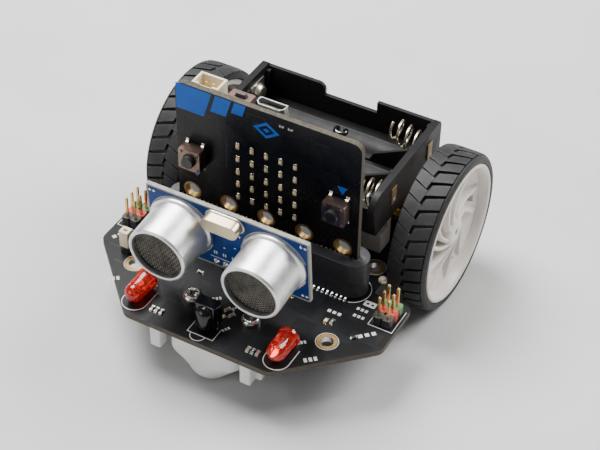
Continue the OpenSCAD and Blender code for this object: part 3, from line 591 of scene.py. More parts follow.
def build_chassis_board():
    p = detail("chassis_board", "board_black")
    holes, walls = [], [FIBRE]
    for s in (-1, 1):
        sites = ([(s * x, y, 1.6, 28, SOLDER) for x, y in MOUNT_HOLES]
                 + [(s * CASTER_SCREW[0], CASTER_SCREW[1], 1.3, 20, GOLD)]
                 + [(s * BRACKET_X, y, 1.1, 20, FIBRE) for y in BRACKET_Y]
                 + [(0, TRAY_Y + s * TRAY_SCREW_Y, 1.6, 24, FIBRE)])
        for x, y, r, n, wall in sites:
            holes.append(circle(r, n, x, y))
            walls.append(wall)
    p.slab(chassis_outline(), BOTTOM, TOP, MASK, holes=holes, side=walls)
    p.done(0.12, 2)

    q = Piece("chassis_board_print", "chassis", "board_black")
    z0, z1 = TOP, TOP + SILK_T
    for s in (-1, 1):
        for x, y in MOUNT_HOLES:
            x *= s
            # rings in the gold darkened as painted shade
            for low in (TOP, BOTTOM - SILK_T):
                q.slab(circle(2.6, 36, x, y), low, low + SILK_T, SHADED_GOLD, holes=[circle(1.66, 36, x, y)])
            q.line(circle(2.85, 36, x, y), 0.16, z0, z1, SILK, closed=True)
    for s in (-1, 1):
        q.line(u_mark(s * LAMP_X, -37.3, 3.35, 5.2), 0.22, z0, z1, SILK)
        # outline round the header, open at one corner
        q.line([(s * 33.6, -15.6), (s * 40.1, -15.6), (s * 40.1, -7.4)], 0.2, z0, z1, SILK)
        q.line([(s * 33.6, -15.6), (s * 33.6, -7.2), (s * 37, -7.2)], 0.2, z0, z1, SILK)
        # end arc of the socket outline
        start = -75 if s > 0 else 105
        q.line(arc(s * 24.5, -6.5, 4.9, start, start + 150, 16), 0.2, z0, z1, SILK)
    # receiver outline: a box with a rounded front
    q.line([(-3.6, -35.2), (-3.6, -39.6), (3.6, -39.6), (3.6, -35.2)], 0.2, z0, z1, SILK)
    q.line(arc(-0.5, -39.6, 2.0, 180, 360, 12), 0.2, z0, z1, SILK)
    for site in ((-37.3, -18.6, 5.0, 1.1, 62), (-29.5, -33.4, 3.6, 1.3, 40), (27.2, -33.2, 3.8, 1.3, 42),
                 (22.6, -29.3, 2.6, 1.0, 42), (30.5, -14.5, 3.4, 0.9, 0), (30.2, -12.0, 3.4, 0.9, 0),
                 (35.2, -19.1, 5.2, 1.1, 45), (24.6, -16.2, 4.2, 0.9, 0), (-4.6, -17.6, 3.6, 0.9, 12),
                 (-12.5, 31.5, 4.5, 1.0, 0), (-3.1, -26.5, 2.6, 0.9, 40), (4.4, -34.6, 2.4, 0.8, 60),
                 (15, 31.8, 4.0, 1.0, 0), (-21, -17.0, 3.8, 0.9, 0)):
        label(q, *site)
    for x, y in ((31.0, -9.3), (-31.0, -9.3)):
        q.slab(rounded(3.2, 1.9, 0.25, x, y), z0, z1, SILK,
               holes=[circle(0.4, 12, x - 0.6, y), circle(0.4, 12, x + 0.7, y)])
    # copper tracks under the mask, top and bottom
    above, below = (TOP - 0.01, TOP + 0.018), (BOTTOM - 0.018, BOTTOM + 0.01)
    for k in range(9):
        x = 6.5 + k * 1.6
        runs = ((above, [(x, -12.4), (x, -15 - k * 0.5), (x + 3, -18 - k * 0.5), (x + 3, -24 - k * 0.8)]),
                (below, [(x, -10), (x, k * 0.8), (x - 2, 2 + k * 0.8), (x - 2, 30 - k)]),
                (above, [(x - 3, -2), (x - 3, 2 + k * 0.5), (x + 1, 6 + k * 0.5), (x + 1, 9 + k)]))
        for s in (-1, 1):
            for (low, high), run in runs:
                q.line([(s * a, b) for a, b in run], 0.3, low, high, MASK)
    # plated holes, kept clear of the socket and the motors
    for k in range(46):
        x, y = random.uniform(-28, 28), random.uniform(-38, 36)
        if abs(y + 6.5) < 6 or abs(abs(x) - 23) < 7:
            continue
        for place in (shift(x, y, TOP), beneath(x, y)):
            q.lathe([(0.38, 0), (0.34, 0.03), (0.16, 0.02), (0, 0.0)], MASK if k % 3 else GOLD, place, 14)
    q.done(0, angle=50)

    c = Piece("chassis_board_parts", "chassis", "tin")
    for i in range(3):
        smd(c, -15.1 + 1.35 * i, -37.5, "RCR"[i], 90, z=TOP)
        smd(c, 12.6 + 1.35 * i, -37.8, "CRC"[i], 90, z=TOP)
    for site in ((1.3, -28.6, "C", 60), (2.9, -27.4, "R", 60), (3.2, -29.8, "C", 60), (1.6, -31.4, "L", 60),
                 (24.2, -19.9, "L", 90), (25.7, -19.4, "R", 90), (-24.4, -20.3, "C", 0),
                 (32.9, -21.6, "D", 45), (-11.6, -20.5, "R", 0), (11.2, -20.8, "C", 0), (-20.6, 30.5, "C", 0),
                 (-6.2, 33.5, "R", 90), (7.4, 34.2, "C", 90), (3.2, 36.0, "R", 0)):
        smd(c, *site, z=TOP)
    soic(c, 6.2, 5.4, 4, (3.9, 4.9, 1.45), place=shift(0, 0, TOP), angle=90)
    soic(c, 0.0, -16.0, 5, (3.0, 3.2, 1.0), 0.65, place=shift(0, 0, TOP))
    for site in ((3, 14, "R", 0), (3, 17, "C", 0), (-4, 9, "R", 90), (-7, 9, "C", 90), (18, -6, "R", 0),
                 (18, -9, "C", 0), (-18, -14, "R", 45), (9, 24, "C", 0), (-9, 26, "R", 0), (4, -4, "C", 90)):
        smd(c, *site, place=UNDER)
    # cream power lamp dome beside the rear hole
    c.lathe([(1.1, 0), (1.1, 0.5), (0.8, 0.95), (0, 1.1)], CREAM, shift(29.8, -0.1, TOP), 24)
    c.done(0.04, 1)


# ---------------------------------------------------------------- controller board

def build_controller():
    p = detail("controller_board", "board_black")
    w, t, h = ctrl_hi - ctrl_lo
    base = on_controller(0, ctrl_lo.z)
    pads, ring_z = [k * PAD_PITCH for k in range(-2, 3)], 8.8
    # walls of the big holes in the gold darkened as painted shade
    p.slab(rounded(w, h, 2.4, 0, h / 2), -t, 0, CTRL_MASK, base,
           holes=[circle(2.0, 32, x, ring_z) for x in pads], side=[FIBRE] + [SHADED_GOLD] * 5)
    p.done(0.12, 2)

    q = Piece("controller_print", "chassis", "board_black")
    for z0, z1 in ((0, INK_T), (-t - INK_T, -t)):
        for x in pads:
            # rings round the big holes in the gold darkened as painted shade
            q.slab(circle(2.6, 36, x, ring_z), z0, z1, SHADED_GOLD, base, holes=[circle(2.02, 36, x, ring_z)])
            q.slab(rounded(4.2, 5.2, 0.2, x, 3.1), z0, z1, GOLD, base)
        for i in range(40):
            x = (i - 19.5) * EDGE_PITCH
            if min(abs(x - pad) for pad in pads) > 2.6:
                q.slab(rounded(0.8, 5.2, 0.1, x, 3.1), z0, z1, GOLD, base)
    # plain blue bars of decreasing size along the top left corner
    x = -w / 2 + 0.25
    for bar, drop in ((10.2, 7.6), (6.0, 5.2), (4.2, 3.4)):
        slant = drop * 0.3
        low, high = h - 0.35 - drop, h - 0.35
        q.slab([(x, low), (x + bar - slant, low), (x + bar, high), (x + (0 if bar > 10 else slant), high)],
               0, INK_T, BLUE_INK, base)
        x += bar + 0.5 - slant * 0.4
    # small blue lozenge outline at the top centre, and markers by the buttons
    q.line([(-3.0, h - 5.3), (0, h - 3.3), (3.0, h - 5.3), (0, h - 7.3)], 0.75, 0, INK_T, BLUE_INK, base,
           closed=True)
    q.slab([(-1.0, h - 5.3), (0, h - 4.65), (1.0, h - 5.3), (0, h - 5.95)], 0, INK_T, BLUE_INK, base)
    for x, y in ((21.0, h - 14.2), (-20.2, h - 25.6)):
        q.slab([(x - 1.4, y), (x + 1.4, y), (x, y - 2.4)], 0, INK_T, BLUE_INK, base)
    for x in (-20.3, 20.3):
        q.line([(x - 4.1, h - 16.0), (x + 4.1, h - 16.0), (x + 4.1, h - 25.4), (x - 4.1, h - 25.4)],
               0.14, 0, 0.03, CTRL_MASK, base, closed=True)
    # tracks under the mask
    for k in range(10):
        for s in (-1, 1):
            xx = s * (2.0 + k * 1.15)
            q.line([(xx, ring_z + 4 + k * 0.2), (xx, ring_z + 8), (xx + s * 3, ring_z + 11),
                    (xx + s * 3, h - 9 - k * 0.5)], 0.22, -0.01, 0.016, CTRL_MASK, base)
    q.done(0, angle=50)

    r = Piece("controller_parts", "chassis", "black_plastic", ["circuit_chips"])
    back = behind_controller(0, ctrl_lo.z)
    soic(r, 9.0, h - 15.5, 12, (7, 7, 1.0), 0.5, place=back, four_sides=True)
    soic(r, -6.0, h - 16.0, 10, (6, 6, 0.95), 0.5, place=back, four_sides=True)
    soic(r, -16.0, h - 15.5, 4, (3, 3, 0.9), 0.65, place=back)
    soic(r, -15.0, h - 26, 4, (3.9, 4.9, 1.2), place=back)
    for k in range(22):
        smd(r, -21 + k * 2.0, h - 30 + 1.2 * math.sin(k * 1.9), "RCRCC"[k % 5], 90, (1.0, 0.5, 0.35), back)
    for k in range(12):
        smd(r, 18 + (k % 3) * 1.8, h - 12 - (k // 3) * 2.2, "CR"[k % 2], 0, (1.0, 0.5, 0.35), back)
    r.box((6.4, 2.6, 0.9), (0.5, h - 25, 0), CERAMIC, back)
    r.box((5.0, 1.2, 0.06), (0.5, h - 25, 0.9), GOLD, back)
    # two small parts by the socket on the front
    for x in (4.2, 6.6):
        smd(r, x, h - 2.4, "C", 0, (1.0, 0.5, 0.3), base)
    # chips on the back of the sensor board and under the chassis
    sensor_back = sonar_frame() @ shift(0, SENSOR_T, 0) @ turn(-90, "X")
    for x in (-14, 0.5, 14):
        soic(r, x, -3.4, 7, (3.9, 8.6, 1.5), place=sensor_back, angle=90)
    for k in range(8):
        smd(r, -20 + k * 5.6, 4.6 - (k % 2) * 1.4, "RC"[k % 2], 0, (1.6, 0.8, 0.45), sensor_back)
    soic(r, -12, 7, 8, (5, 7, 1.2), 0.65, place=UNDER, angle=90)
    soic(r, 12, -7, 8, (5, 9, 1.2), 0.9, place=UNDER, angle=90)
    r.done(0.04, 1)

    m = detail("led_matrix", "lamp")
    lo, hi = span("led_matrix")
    for column in range(5):
        for row in range(5):
            f = on_controller(lo.x + 0.5 + column * (hi.x - lo.x - 1.0) / 4,
                              lo.z + 0.95 + row * (hi.z - lo.z - 1.9) / 4)
            m.box((0.9, 0.9, 0.5), (0, 0, 0), PHOSPHOR, f, top=0.86)
            m.box((0.95, 1.5, 0.18), (0, 0, 0), CREAM, f)
            for s in (-1, 1):
                m.box((0.9, 0.36, 0.32), (0, s * 0.74, 0), GOLD, f)
                m.box((1.0, 0.5, 0.1), (0, s * 0.7, 0), SOLDER, f, top=0.8)
    m.done(0.05, 1)


def build_buttons():
    for side in "ab":
        c = middle(f"button_{side}_body")
        f = on_controller(c.x, c.z)
        p = detail(f"button_{side}_body", "switch_metal")
        p.slab(rounded(6.0, 6.0, 0.3), 0.05, 0.7, BLACK, f, holes=[circle(1.95, 32)])
        p.slab(rounded(6.2, 6.2, 0.45), 0.7, 3.4, BRONZE, f, holes=[circle(1.88, 40)])
        for sx, sy in ((-1, -1), (-1, 1), (1, -1), (1, 1)):
            rivet = f @ shift(sx * 2.3, sy * 2.3, 3.4)
            p.lathe([(0.46, 0), (0.44, 0.12), (0.28, 0.2), (0, 0.22)], BRONZE, rivet, 18)
            p.bar([(sx * 2.25, sy * y, z) for y, z in ((2.9, 0.62), (3.25, 0.58), (3.5, 0.14), (4.0, 0.12))],
                  0.75, 0.2, CREAM_METAL, f)
            p.box((1.0, 0.8, 0.1), (sx * 2.25, sy * 3.8, 0), SOLDER, f, top=0.8)
        p.done(0.08, 2)
        depth = ctrl_lo.y - span(f"button_{side}_plunger")[0].y
        q = detail(f"button_{side}_plunger", "black_plastic", f"button_{side}")
        q.lathe([(0, 1.75), (1.7, 1.75), (1.75, 1.8), (1.75, depth - 0.18), (1.58, depth),
                 (1.2, depth - 0.03), (0, depth - 0.06)], BLACK, f, 40)
        q.done(0, angle=40)


# ---------------------------------------------------------------- distance sensor

def sonar_frame():
    """Frame of the leaning sensor board: its front face at y 0, centred."""
    return shift(0, SENSOR_Y, TOP + SENSOR_Z) @ turn(SENSOR_LEAN, "X")


def sonar_front(x, z):
    return sonar_frame() @ shift(x, 0, z) @ turn(90, "X")


def build_sonar():
    p = detail("sonar_board", "board_blue")
    f = sonar_front(0, 0)
    pin_z = -8.4
    p.slab(rounded(45, 20, 0.3), -SENSOR_T, 0, BLUE_MASK, f, side=[PALE_FIBRE] + [SOLDER] * 4,
           holes=[circle(0.45, 12, x, pin_z) for x in PINS])
    # the bare laminate margin round the front, where the mask stops short of the cut
    p.slab(rounded(45, 20, 0.3), 0, 0.02, PALE_FIBRE, f, holes=[rounded(44.1, 19.1, 0.3)])
    p.done(0.06, 1)
    q = Piece("sonar_print", "chassis", "board_blue")
    for x in (-20.9, 20.9):
        for y in (-8.4, 8.4):
            for dx in (-0.5, 0.6):
                r = 0.42
                q.lathe([(r, 0), (r * 0.92, r * 0.3), (r * 0.6, r * 0.62), (0, r * 0.75)], SOLDER,
                        f @ shift(x + dx, y, 0.01), 18)
    for s in (-1, 1):
        q.line(circle(8.95, 56, s * CAN_X, 0)[3:-2], 0.18, 0, SILK_T, SILK, f)
    q.line([(-5.4, -6.9), (5.4, -6.9)], 0.18, 0, SILK_T, SILK, f)
    for x in PINS:
        q.lathe([(0.85, 0), (0.8, 0.06), (0.45, 0.4), (0.3, 0.85), (0, 0.9)], SOLDER,
                f @ shift(x, pin_z, 0.01), 20)
        for k in range(2):
            q.box((0.3, 1.0, SILK_T), (x - 0.35 + 0.6 * k, -5.2, 0), SILK, f)
    for x, y in ((-3.6, 3.2), (3.4, 3.4), (-1.2, -2.6), (1.9, -1.3), (3.4, -3.3)):
        q.lathe([(0.3, 0), (0.26, 0.02), (0.12, 0.02), (0, 0)], SOLDER, f @ shift(x, y, 0.005), 12)
    q.done(0, angle=40)

    c = detail("sonar_cans", "aluminium")
    m = Piece("sonar_mesh", "chassis", "sensor_mesh", ["sonar_inserts"])
    for s in (-1, 1):
        g = sonar_front(s * CAN_X, 0)
        c.lathe([(6.6, 0.02), (8.75, 0.02), (8.8, 0.1), (8.8, 1.0), (8.7, 1.14), (8.2, 1.22), (8.05, 1.4),
                 (8.0, 1.7), (8.0, 11.3), (7.93, 11.65), (7.74, 11.88), (7.45, 12.0)], ALU, g, 72)
        # rim and inner wall of the mouth in the darkened aluminium: painted shade
        c.lathe([(7.45, 12.0), (7.22, 12.0), (7.05, 11.93), (6.97, 11.78), (6.95, 11.5), (6.95, 10.4),
                 (7.4, 10.3), (7.4, 0.5), (6.6, 0.02)], SHADED_LIP, g, 72)
        m.lathe([(0, 0.3), (6.9, 0.3), (6.9, 9.3), (0, 9.4)], BLACK, g, 48)
        weave(m, g @ shift(0, 0, 10.6), 7.1, 0.66, 0.11, MESH_WIRE, 20 + 12 * s)
        m.lathe([(6.8, 10.4), (7.35, 10.4), (7.35, 10.85), (6.8, 10.85)], CHIP, g, 48, closed=True)
    c.done(0, angle=50)
    m.done(0, angle=50)

    x = detail("sonar_crystal", "cream_plastic")
    g = sonar_front(-0.2, 7.4)

    def oval(w, h):
        return arc((w - h) / 2, 0, h / 2, -90, 90, 10) + arc((h - w) / 2, 0, h / 2, 90, 270, 10)

    x.slab(oval(11, 4.7), 0.02, 0.55, TIN, g)
    x.slab(oval(10.2, 4.0), 0.55, 3.4, CRYSTAL, g)
    x.done(0.2, 3)

    h = detail("sonar_pins", "black_plastic")
    fr = sonar_frame()
    for x in PINS:
        h.box((2.48, 2.5, PITCH), (x, SENSOR_T + 1.27, pin_z - 1.27), BLACK, fr)
        h.bar([(x, -0.9, pin_z), (x, 4.6, pin_z), (x, 5.25, -8.7), (x, 5.4, -9.4), (x, 5.4, -13.6)],
              0.64, 0.64, GOLD, fr, (0, 0.3, 1))
    h.done(0.12, 1)


def weave(p, place, radius, pitch, wire, mat, angle):
    """A disc of woven wire, each wire passing over and under the others."""
    n = int(radius / pitch)
    for way in (0, 1):
        for i in range(-n, n + 1):
            y = i * pitch
            half = math.sqrt(radius * radius - y * y)
            if half < pitch:
                continue
            steps = int(half / pitch * 2)
            pts = []
            for k in range(-steps, steps + 1):
                x = k * pitch / 2
                z = 0.09 * math.cos(math.pi * (x / pitch + i + way))
                pts.append((y, x, z) if way else (x, y, z))
            p.tube(pts, wire, mat, place @ turn(angle, "Z"), 5)


# ---------------------------------------------------------------- lamps, receiver, headers

def build_front_parts():
    p = detail("led_lenses", "red_lens")
    d = Piece("led_inside", "chassis", "tin")
    w = detail("sensor_leads", "tin")
    lo, hi = span("led_lenses")
    pin_y = span("ir_receiver")[1].y - 1.7
    z = (lo.z + hi.z) / 2
    length = hi.y - lo.y
    dome = [(x, length - 2.5 + y) for x, y in (polar(2.5, 90 - a) for a in range(85, -1, -10))]
    for s in (-1, 1):
        f = shift(s * LAMP_X, hi.y, z) @ turn(90, "X")
        p.lathe([(0, 0), (2.8, 0), (2.9, 0.08), (2.9, 0.92), (2.8, 1.0), (2.55, 1.02), (2.5, 1.1),
                 (2.5, length - 2.6)] + dome + [(0, length)], RED_LENS, f, 48)
        # lead frame: a wide cup post and a narrow one with its bond wire
        d.box((0.5, 0.5, 2.2), (-1.27, 0, 0.3), TIN, f)
        d.box((0.5, 0.5, 2.6), (1.27, 0, 0.3), TIN, f)
        for plate in ([(-1.75, 2.4), (0.1, 2.4), (0.45, 3.2), (0.2, 4.3), (-1.0, 4.3), (-1.6, 3.6)],
                      [(0.75, 2.8), (1.6, 2.8), (1.5, 4.0), (0.6, 4.5)]):
            d.slab(plate, -0.22, 0.22, TIN, f @ turn(90, "X"))
        d.lathe([(0.3, 0), (0.72, 0.45), (0.62, 0.47), (0.2, 0.1)], TIN, f @ shift(-0.45, 0, 4.2), 20,
                closed=True)
        d.tube([(-0.45, 0, 4.5), (-0.1, 0, 5.1), (0.5, 0, 5.0), (0.95, 0, 4.4)], 0.04, GOLD, f, 6)
        for k in (-1, 1):
            x, y = s * LAMP_X + k * 1.27, hi.y + 1.4
            w.bar([(x, hi.y - 0.2, z), (x, hi.y + 0.9, z), (x, hi.y + 1.35, z - 0.3), (x, y, z - 0.9),
                   (x, y, BOTTOM - 1.0)], 0.5, 0.5, TIN, flat=(0, 0.3, 1))
            for place in (shift(x, y, TOP), beneath(x, y)):
                w.lathe([(0.8, 0), (0.7, 0.1), (0.42, 0.4), (0.3, 0.6), (0, 0.6)], SOLDER, place, 18)
    for x in (-PITCH, 0, PITCH):
        w.box((0.5, 0.5, TOP - BOTTOM + 2.4), (x, pin_y, BOTTOM - 1), TIN)
        w.lathe([(0.85, 0), (0.75, 0.1), (0.42, 0.5), (0.3, 0.75), (0, 0.75)], SOLDER, beneath(x, pin_y), 18)
    p.done(0, angle=50)
    d.done(0.05, 1)
    w.done(0.06, 1)

    # receiver: a square body with chamfered corners and a half dome running down the front
    r = detail("ir_receiver", "black_plastic")
    foot = span("ir_receiver")[0].z
    r.slab([(-3.1, 1.7), (-3.1, -1.1), (-2.5, -1.7), (2.5, -1.7), (3.1, -1.1), (3.1, 1.7)], foot, foot + 6.6,
           GLOSS_BLACK, shift(0, pin_y, 0))
    r.lathe([(0, -3.7), (2.3, -3.7), (2.5, -3.4), (2.5, 0)] + arc(0, 0, 2.5, 10, 80, 7) + [(0, 2.5)],
            GLOSS_BLACK, shift(0, pin_y - 1.2, foot + 3.8), 48)
    r.done(0.18, 3)


def build_headers():
    b = detail("header_bases", "header_plastic")
    g = detail("header_pins", "gold")
    flat, full = 0.83, 1.25
    octagon = [(full, -flat), (full, flat), (flat, full), (-flat, full), (-full, flat), (-full, -flat),
               (-flat, -full), (flat, -full)]
    pin = [(-0.32, -0.32), (0.32, -0.32), (0.32, 0.32), (-0.32, 0.32)]
    for s in (-1, 1):
        for row, colour in zip((-1, 0, 1), ("black", "red", "green")):
            for k in (-1, 1):
                x, y = s * HEADER_X + k * 1.27, HEADER_Y + row * PITCH
                b.slab(octagon, TOP + 0.02, TOP + PITCH, HEADER[colour], shift(x, y, 0))
                g.slab(pin, BOTTOM - 1.4, TOP + 8.2, GOLD, shift(x, y, 0))
                g.box((0.64, 0.64, 0.4), (x, y, TOP + 8.2), GOLD, top=0.45)
                g.lathe([(0.85, 0), (0.75, 0.1), (0.48, 0.6), (0.42, 1.0), (0, 1.0)], SOLDER,
                        beneath(x, y), 18)
    b.done(0.08, 2)
    g.done(0.03, 1, angle=25)
    lo, hi = span("jumper_cap")
    x, y = middle("jumper_cap").xy
    pins = (y - 0.64, y + 0.64)
    j = detail("jumper_cap", "cream_plastic")
    outline = rounded(2.6, 2.5, 0.25, x, y)
    j.slab(outline, lo.z, hi.z - 1.0, CREAM, holes=[rounded(0.62, 0.62, 0.05, x, pin_y, 1) for pin_y in pins])
    j.slab(outline, hi.z - 1.0, hi.z, CREAM, holes=[rounded(1.2, 0.7, 0.1, x, y, 2)])
    j.box((1.2, 0.7, 0.5), (x, y, hi.z - 1.2), GOLD)
    j.done(0.1, 2)
    h = detail("jumper_header", "black_plastic")
    h.slab(rounded(2.5, 2.5, 0.3, x, y, 1), TOP + 0.02, TOP + 2.1, BLACK)
    for pin_y in pins:
        h.box((0.4, 0.4, TOP - BOTTOM + 7.0), (x, pin_y, BOTTOM - 1.2), GOLD)
        h.lathe([(0.5, 0), (0.45, 0.1), (0.28, 0.5), (0, 0.7)], SOLDER, beneath(x, pin_y), 14)
    h.done(0.06, 1)


# ---------------------------------------------------------------- screws, socket, connectors

def pan_head(p, place, r, h, mat):
    """Pan head with a cross recess, its base at z 0."""
    top = 0.68 * r
    p.lathe([(0, 0), (r, 0), (r, 0.34 * h), (0.96 * r, 0.6 * h), (0.87 * r, 0.84 * h), (0.74 * r, 0.97 * h),
             (top, h), (top - 0.02, h), (top - 0.02, 0.35 * h), (0, 0.35 * h)], mat, place, 40)
    a, b, c = 0.5 * r, 0.1 * r, 0.16 * r
    cross = [(a, -b), (a, b), (c, c), (b, a), (-b, a), (-c, c), (-a, b), (-a, -b), (-c, -c), (-b, -a),
             (b, -a), (c, -c)]
    p.slab(circle(top, 40), 0.4 * h, h, mat, place, holes=[cross])


def threaded(p, place, r, length, pitch, mat):
    """A threaded shank pointing down from z 0."""
    turns = int(length / pitch)
    prof = [(0, 0.05), (r, 0.05)]
    for k in range(turns):
        z = -k * pitch
        prof += [(r, z - 0.1 * pitch), (r * 0.8, z - 0.5 * pitch), (r, z - 0.9 * pitch)]
    prof += [(r * 0.8, -length), (0, -length)]
    p.lathe(prof, mat, place, 20)


def build_screws():
    p = detail("caster_screws", "steel")
    for s in (-1, 1):
        f = shift(s * CASTER_SCREW[0], CASTER_SCREW[1], TOP)
        pan_head(p, f @ turn(20 * s, "Z"), 2.55, 1.9, NICKEL)
        threaded(p, f, 1.0, 6.0, 0.45, NICKEL)
    p.done(0.05, 2)
    q = detail("bracket_screws", "steel")
    n = detail("bracket_nuts", "steel")
    hexagon = [polar(2.2, a) for a in range(0, 360, 60)]
    for s in (-1, 1):
        for y in BRACKET_Y:
            f = shift(s * BRACKET_X, y, TOP + 1.6)
            pan_head(q, f @ turn(33 * (y - AXLE_Y), "Z"), 1.8, 1.4, NICKEL)
            threaded(q, f, 0.95, 6.4, 0.4, NICKEL)
            n.slab(hexagon, BOTTOM - 1.5, BOTTOM - 0.02, STEEL, shift(s * BRACKET_X, y, 0),
                   holes=[circle(1.0, 18)])
    q.done(0.04, 2)
    n.done(0.12, 2)


def build_socket():
    p = detail("edge_socket", "socket_plastic")
    lo, hi = span("edge_socket")
    cy, depth, half = (lo.y + hi.y) / 2, hi.y - lo.y, (hi.x - lo.x) / 2
    r = depth / 2

    def stadium(w, d):
        return arc(w - d, cy, d, -90, 90, 12) + arc(d - w, cy, d, 90, 270, 12)

    near, far = ctrl_lo.y - 0.08, ctrl_hi.y + 0.08
    slot = [(-25.9, near), (25.9, near), (25.9, far), (-25.9, far)]
    p.slab(stadium(half, r), lo.z + 0.6, ctrl_lo.z, SOCKET)
    p.slab(stadium(half, r), ctrl_lo.z, hi.z, SOCKET, holes=[slot])
    p.slab(stadium(half - 0.6, r - 0.6), lo.z, lo.z + 0.6, SOCKET)
    p.done(0.3, 3)
    # rows of contact windows and their springs on both sides of the board
    q = Piece("edge_socket_contacts", "chassis", "tin", ["socket_contacts"])
    for i in range(40):
        x = (i - 19.5) * EDGE_PITCH
        for s in (-1, 1):
            y0 = cy + s * (r - 0.15)
            y1 = cy + s * (r + 0.75)
            q.bar([(x, y0, TOP + 0.5), (x, y0 + s * 0.25, TOP + 0.42), (x, y1, TOP + 0.1)], 0.5, 0.22, TIN)
            q.lathe([(0.52, 0), (0.46, 0.2), (0.3, 0.4), (0, 0.46)], SOLDER, shift(x, y1 - s * 0.15, TOP), 14)
            q.box((0.5, 0.14, 0.9), (x, (ctrl_lo.y - 0.02 if s < 0 else ctrl_hi.y + 0.02), hi.z - 0.75), GOLD)
    q.done(0.03, 1)


def footprint(node):
    """Middle, bottom, top, width and depth of a node, for a piece that stands in its place."""
    lo, hi = span(node)
    return shift((lo.x + hi.x) / 2, (lo.y + hi.y) / 2, 0), lo.z, hi.z, hi.x - lo.x, hi.y - lo.y


def build_usb_socket():
    """A folded steel shell, its tongue and two side springs."""
    u = detail("usb_socket", "tin")
    place, low, high, w, d = footprint("usb_socket")

    def shell(k):
        a, b = w / 2 - k, d / 2 - k
        return [(-a, b), (-a, -b + 0.9), (-a + 0.9, -b), (a - 0.9, -b), (a, -b + 0.9), (a, b)]

    u.slab(shell(0), low, high, TIN, place, holes=[shell(0.28)])
    u.slab(shell(0.2), low + 0.05, low + 1.2, BLACK, place)
    u.box((5.0, 0.6, 3.6), (0, 0.1, low + 1.0), BLACK, place)
    for i in range(5):
        u.box((0.3, 0.1, 2.4), ((i - 2) * 0.65, -0.25, low + 2.0), GOLD, place)
    for s in (-1, 1):
        u.box((0.9, 0.25, 2.2), (s * 2.1, d / 2 - 0.1, low + 1.6), TIN, place)
        u.box((0.6, 1.2, 1.6), (s * (w / 2 + 0.1), 0.5, low + 0.3), TIN, place)
        u.box((1.1, 0.35, 0.4), (s * 2.0, -d / 2 + 0.15, high - 0.4), TIN, place)
    u.done(0.07, 2)


def build_cell_socket():
    """An open cream box with two pins, a little smaller than its node and nearer its right end."""
    c = detail("cell_socket", "cream_plastic")
    place, low, high, w, d = footprint("cell_socket")
    place = place @ shift(0.2, 0, 0)
    high, a, b = high - 0.8, w / 2 - 0.25, d / 2
    inner = [(0.7 - a, 0.65 - b), (a - 0.7, 0.65 - b), (a - 0.7, b - 0.65), (0.7 - a, b - 0.65)]
    box = rounded(2 * a, d, 0.3, 0, 0, 2)
    c.slab(box, low, low + 1.3, CREAM, place)
    c.slab(box, low + 1.3, high - 0.6, CREAM, place, holes=[inner])
    # the rim of the opening steps down along the middle of the front wall
    right = [(a - 0.7, b - 0.65), (a - 0.7, 0.65 - b), (a - 1.9, 0.65 - b), (a - 1.9, -b), (a, -b), (a, b)]
    c.slab([(-x, y) for x, y in right[::-1]] + right, high - 0.6, high, CREAM, place)
    for s in (-1, 1):
        c.box((0.9, 0.9, 2.2), (s * (a - 1.5), 0.42 - b, low + 1.4), CREAM, place)
        c.box((0.5, 0.5, 3.2), (s * 1.0, 0.1, low + 1.2), GOLD, place)
        c.box((1.2, 0.3, 1.6), (s * (a - 1.1), -b, low), TIN, place)
    c.done(0.1, 2)


def build_reset():
    r = detail("reset_body", "switch_metal")
    place, low, high, w, d = footprint("reset_body")
    hole = [(-1.5, -0.85), (1.5, -0.85), (1.5, 0.85), (-1.5, 0.85)]
    r.slab(rounded(w, d, 0.3), low + 1.6, high, RESET_COVER, place, holes=[hole])
    r.slab(rounded(w - 0.1, d - 0.1, 0.3), low, low + 1.6, BLACK, place)
    for s in (-1, 1):
        r.box((0.3, 1.4, 1.4), (s * (w / 2 + 0.02), 0, low + 0.8), RESET_COVER, place)
        r.box((0.8, 0.9, 0.5), (s * (w / 2 - 0.6), -d / 2 + 0.3, low - 0.05), TIN, place)
    r.done(0.1, 2)
    q = detail("reset_plunger", "black_plastic", "reset_button")
    place, low, high, w, d = footprint("reset_plunger")
    q.slab(rounded(w, d, 0.3), low, high, BROWN, place)
    q.done(0.2, 3)


# ---------------------------------------------------------------- wheels

def wheel_frame(side):
    """A wheel's frame, Z outwards along the axle, its width and its radius. The left is turned round."""
    lo, hi = span(f"{side}_tyre")
    c = (lo + hi) / 2
    way = turn(180 if side == "left" else 0, "Z")
    inner = min(abs(lo.x), abs(hi.x))
    return shift(0, c.y, c.z) @ way @ shift(inner, 0, 0) @ turn(90, "Y"), hi.x - lo.x, (hi.z - lo.z) / 2


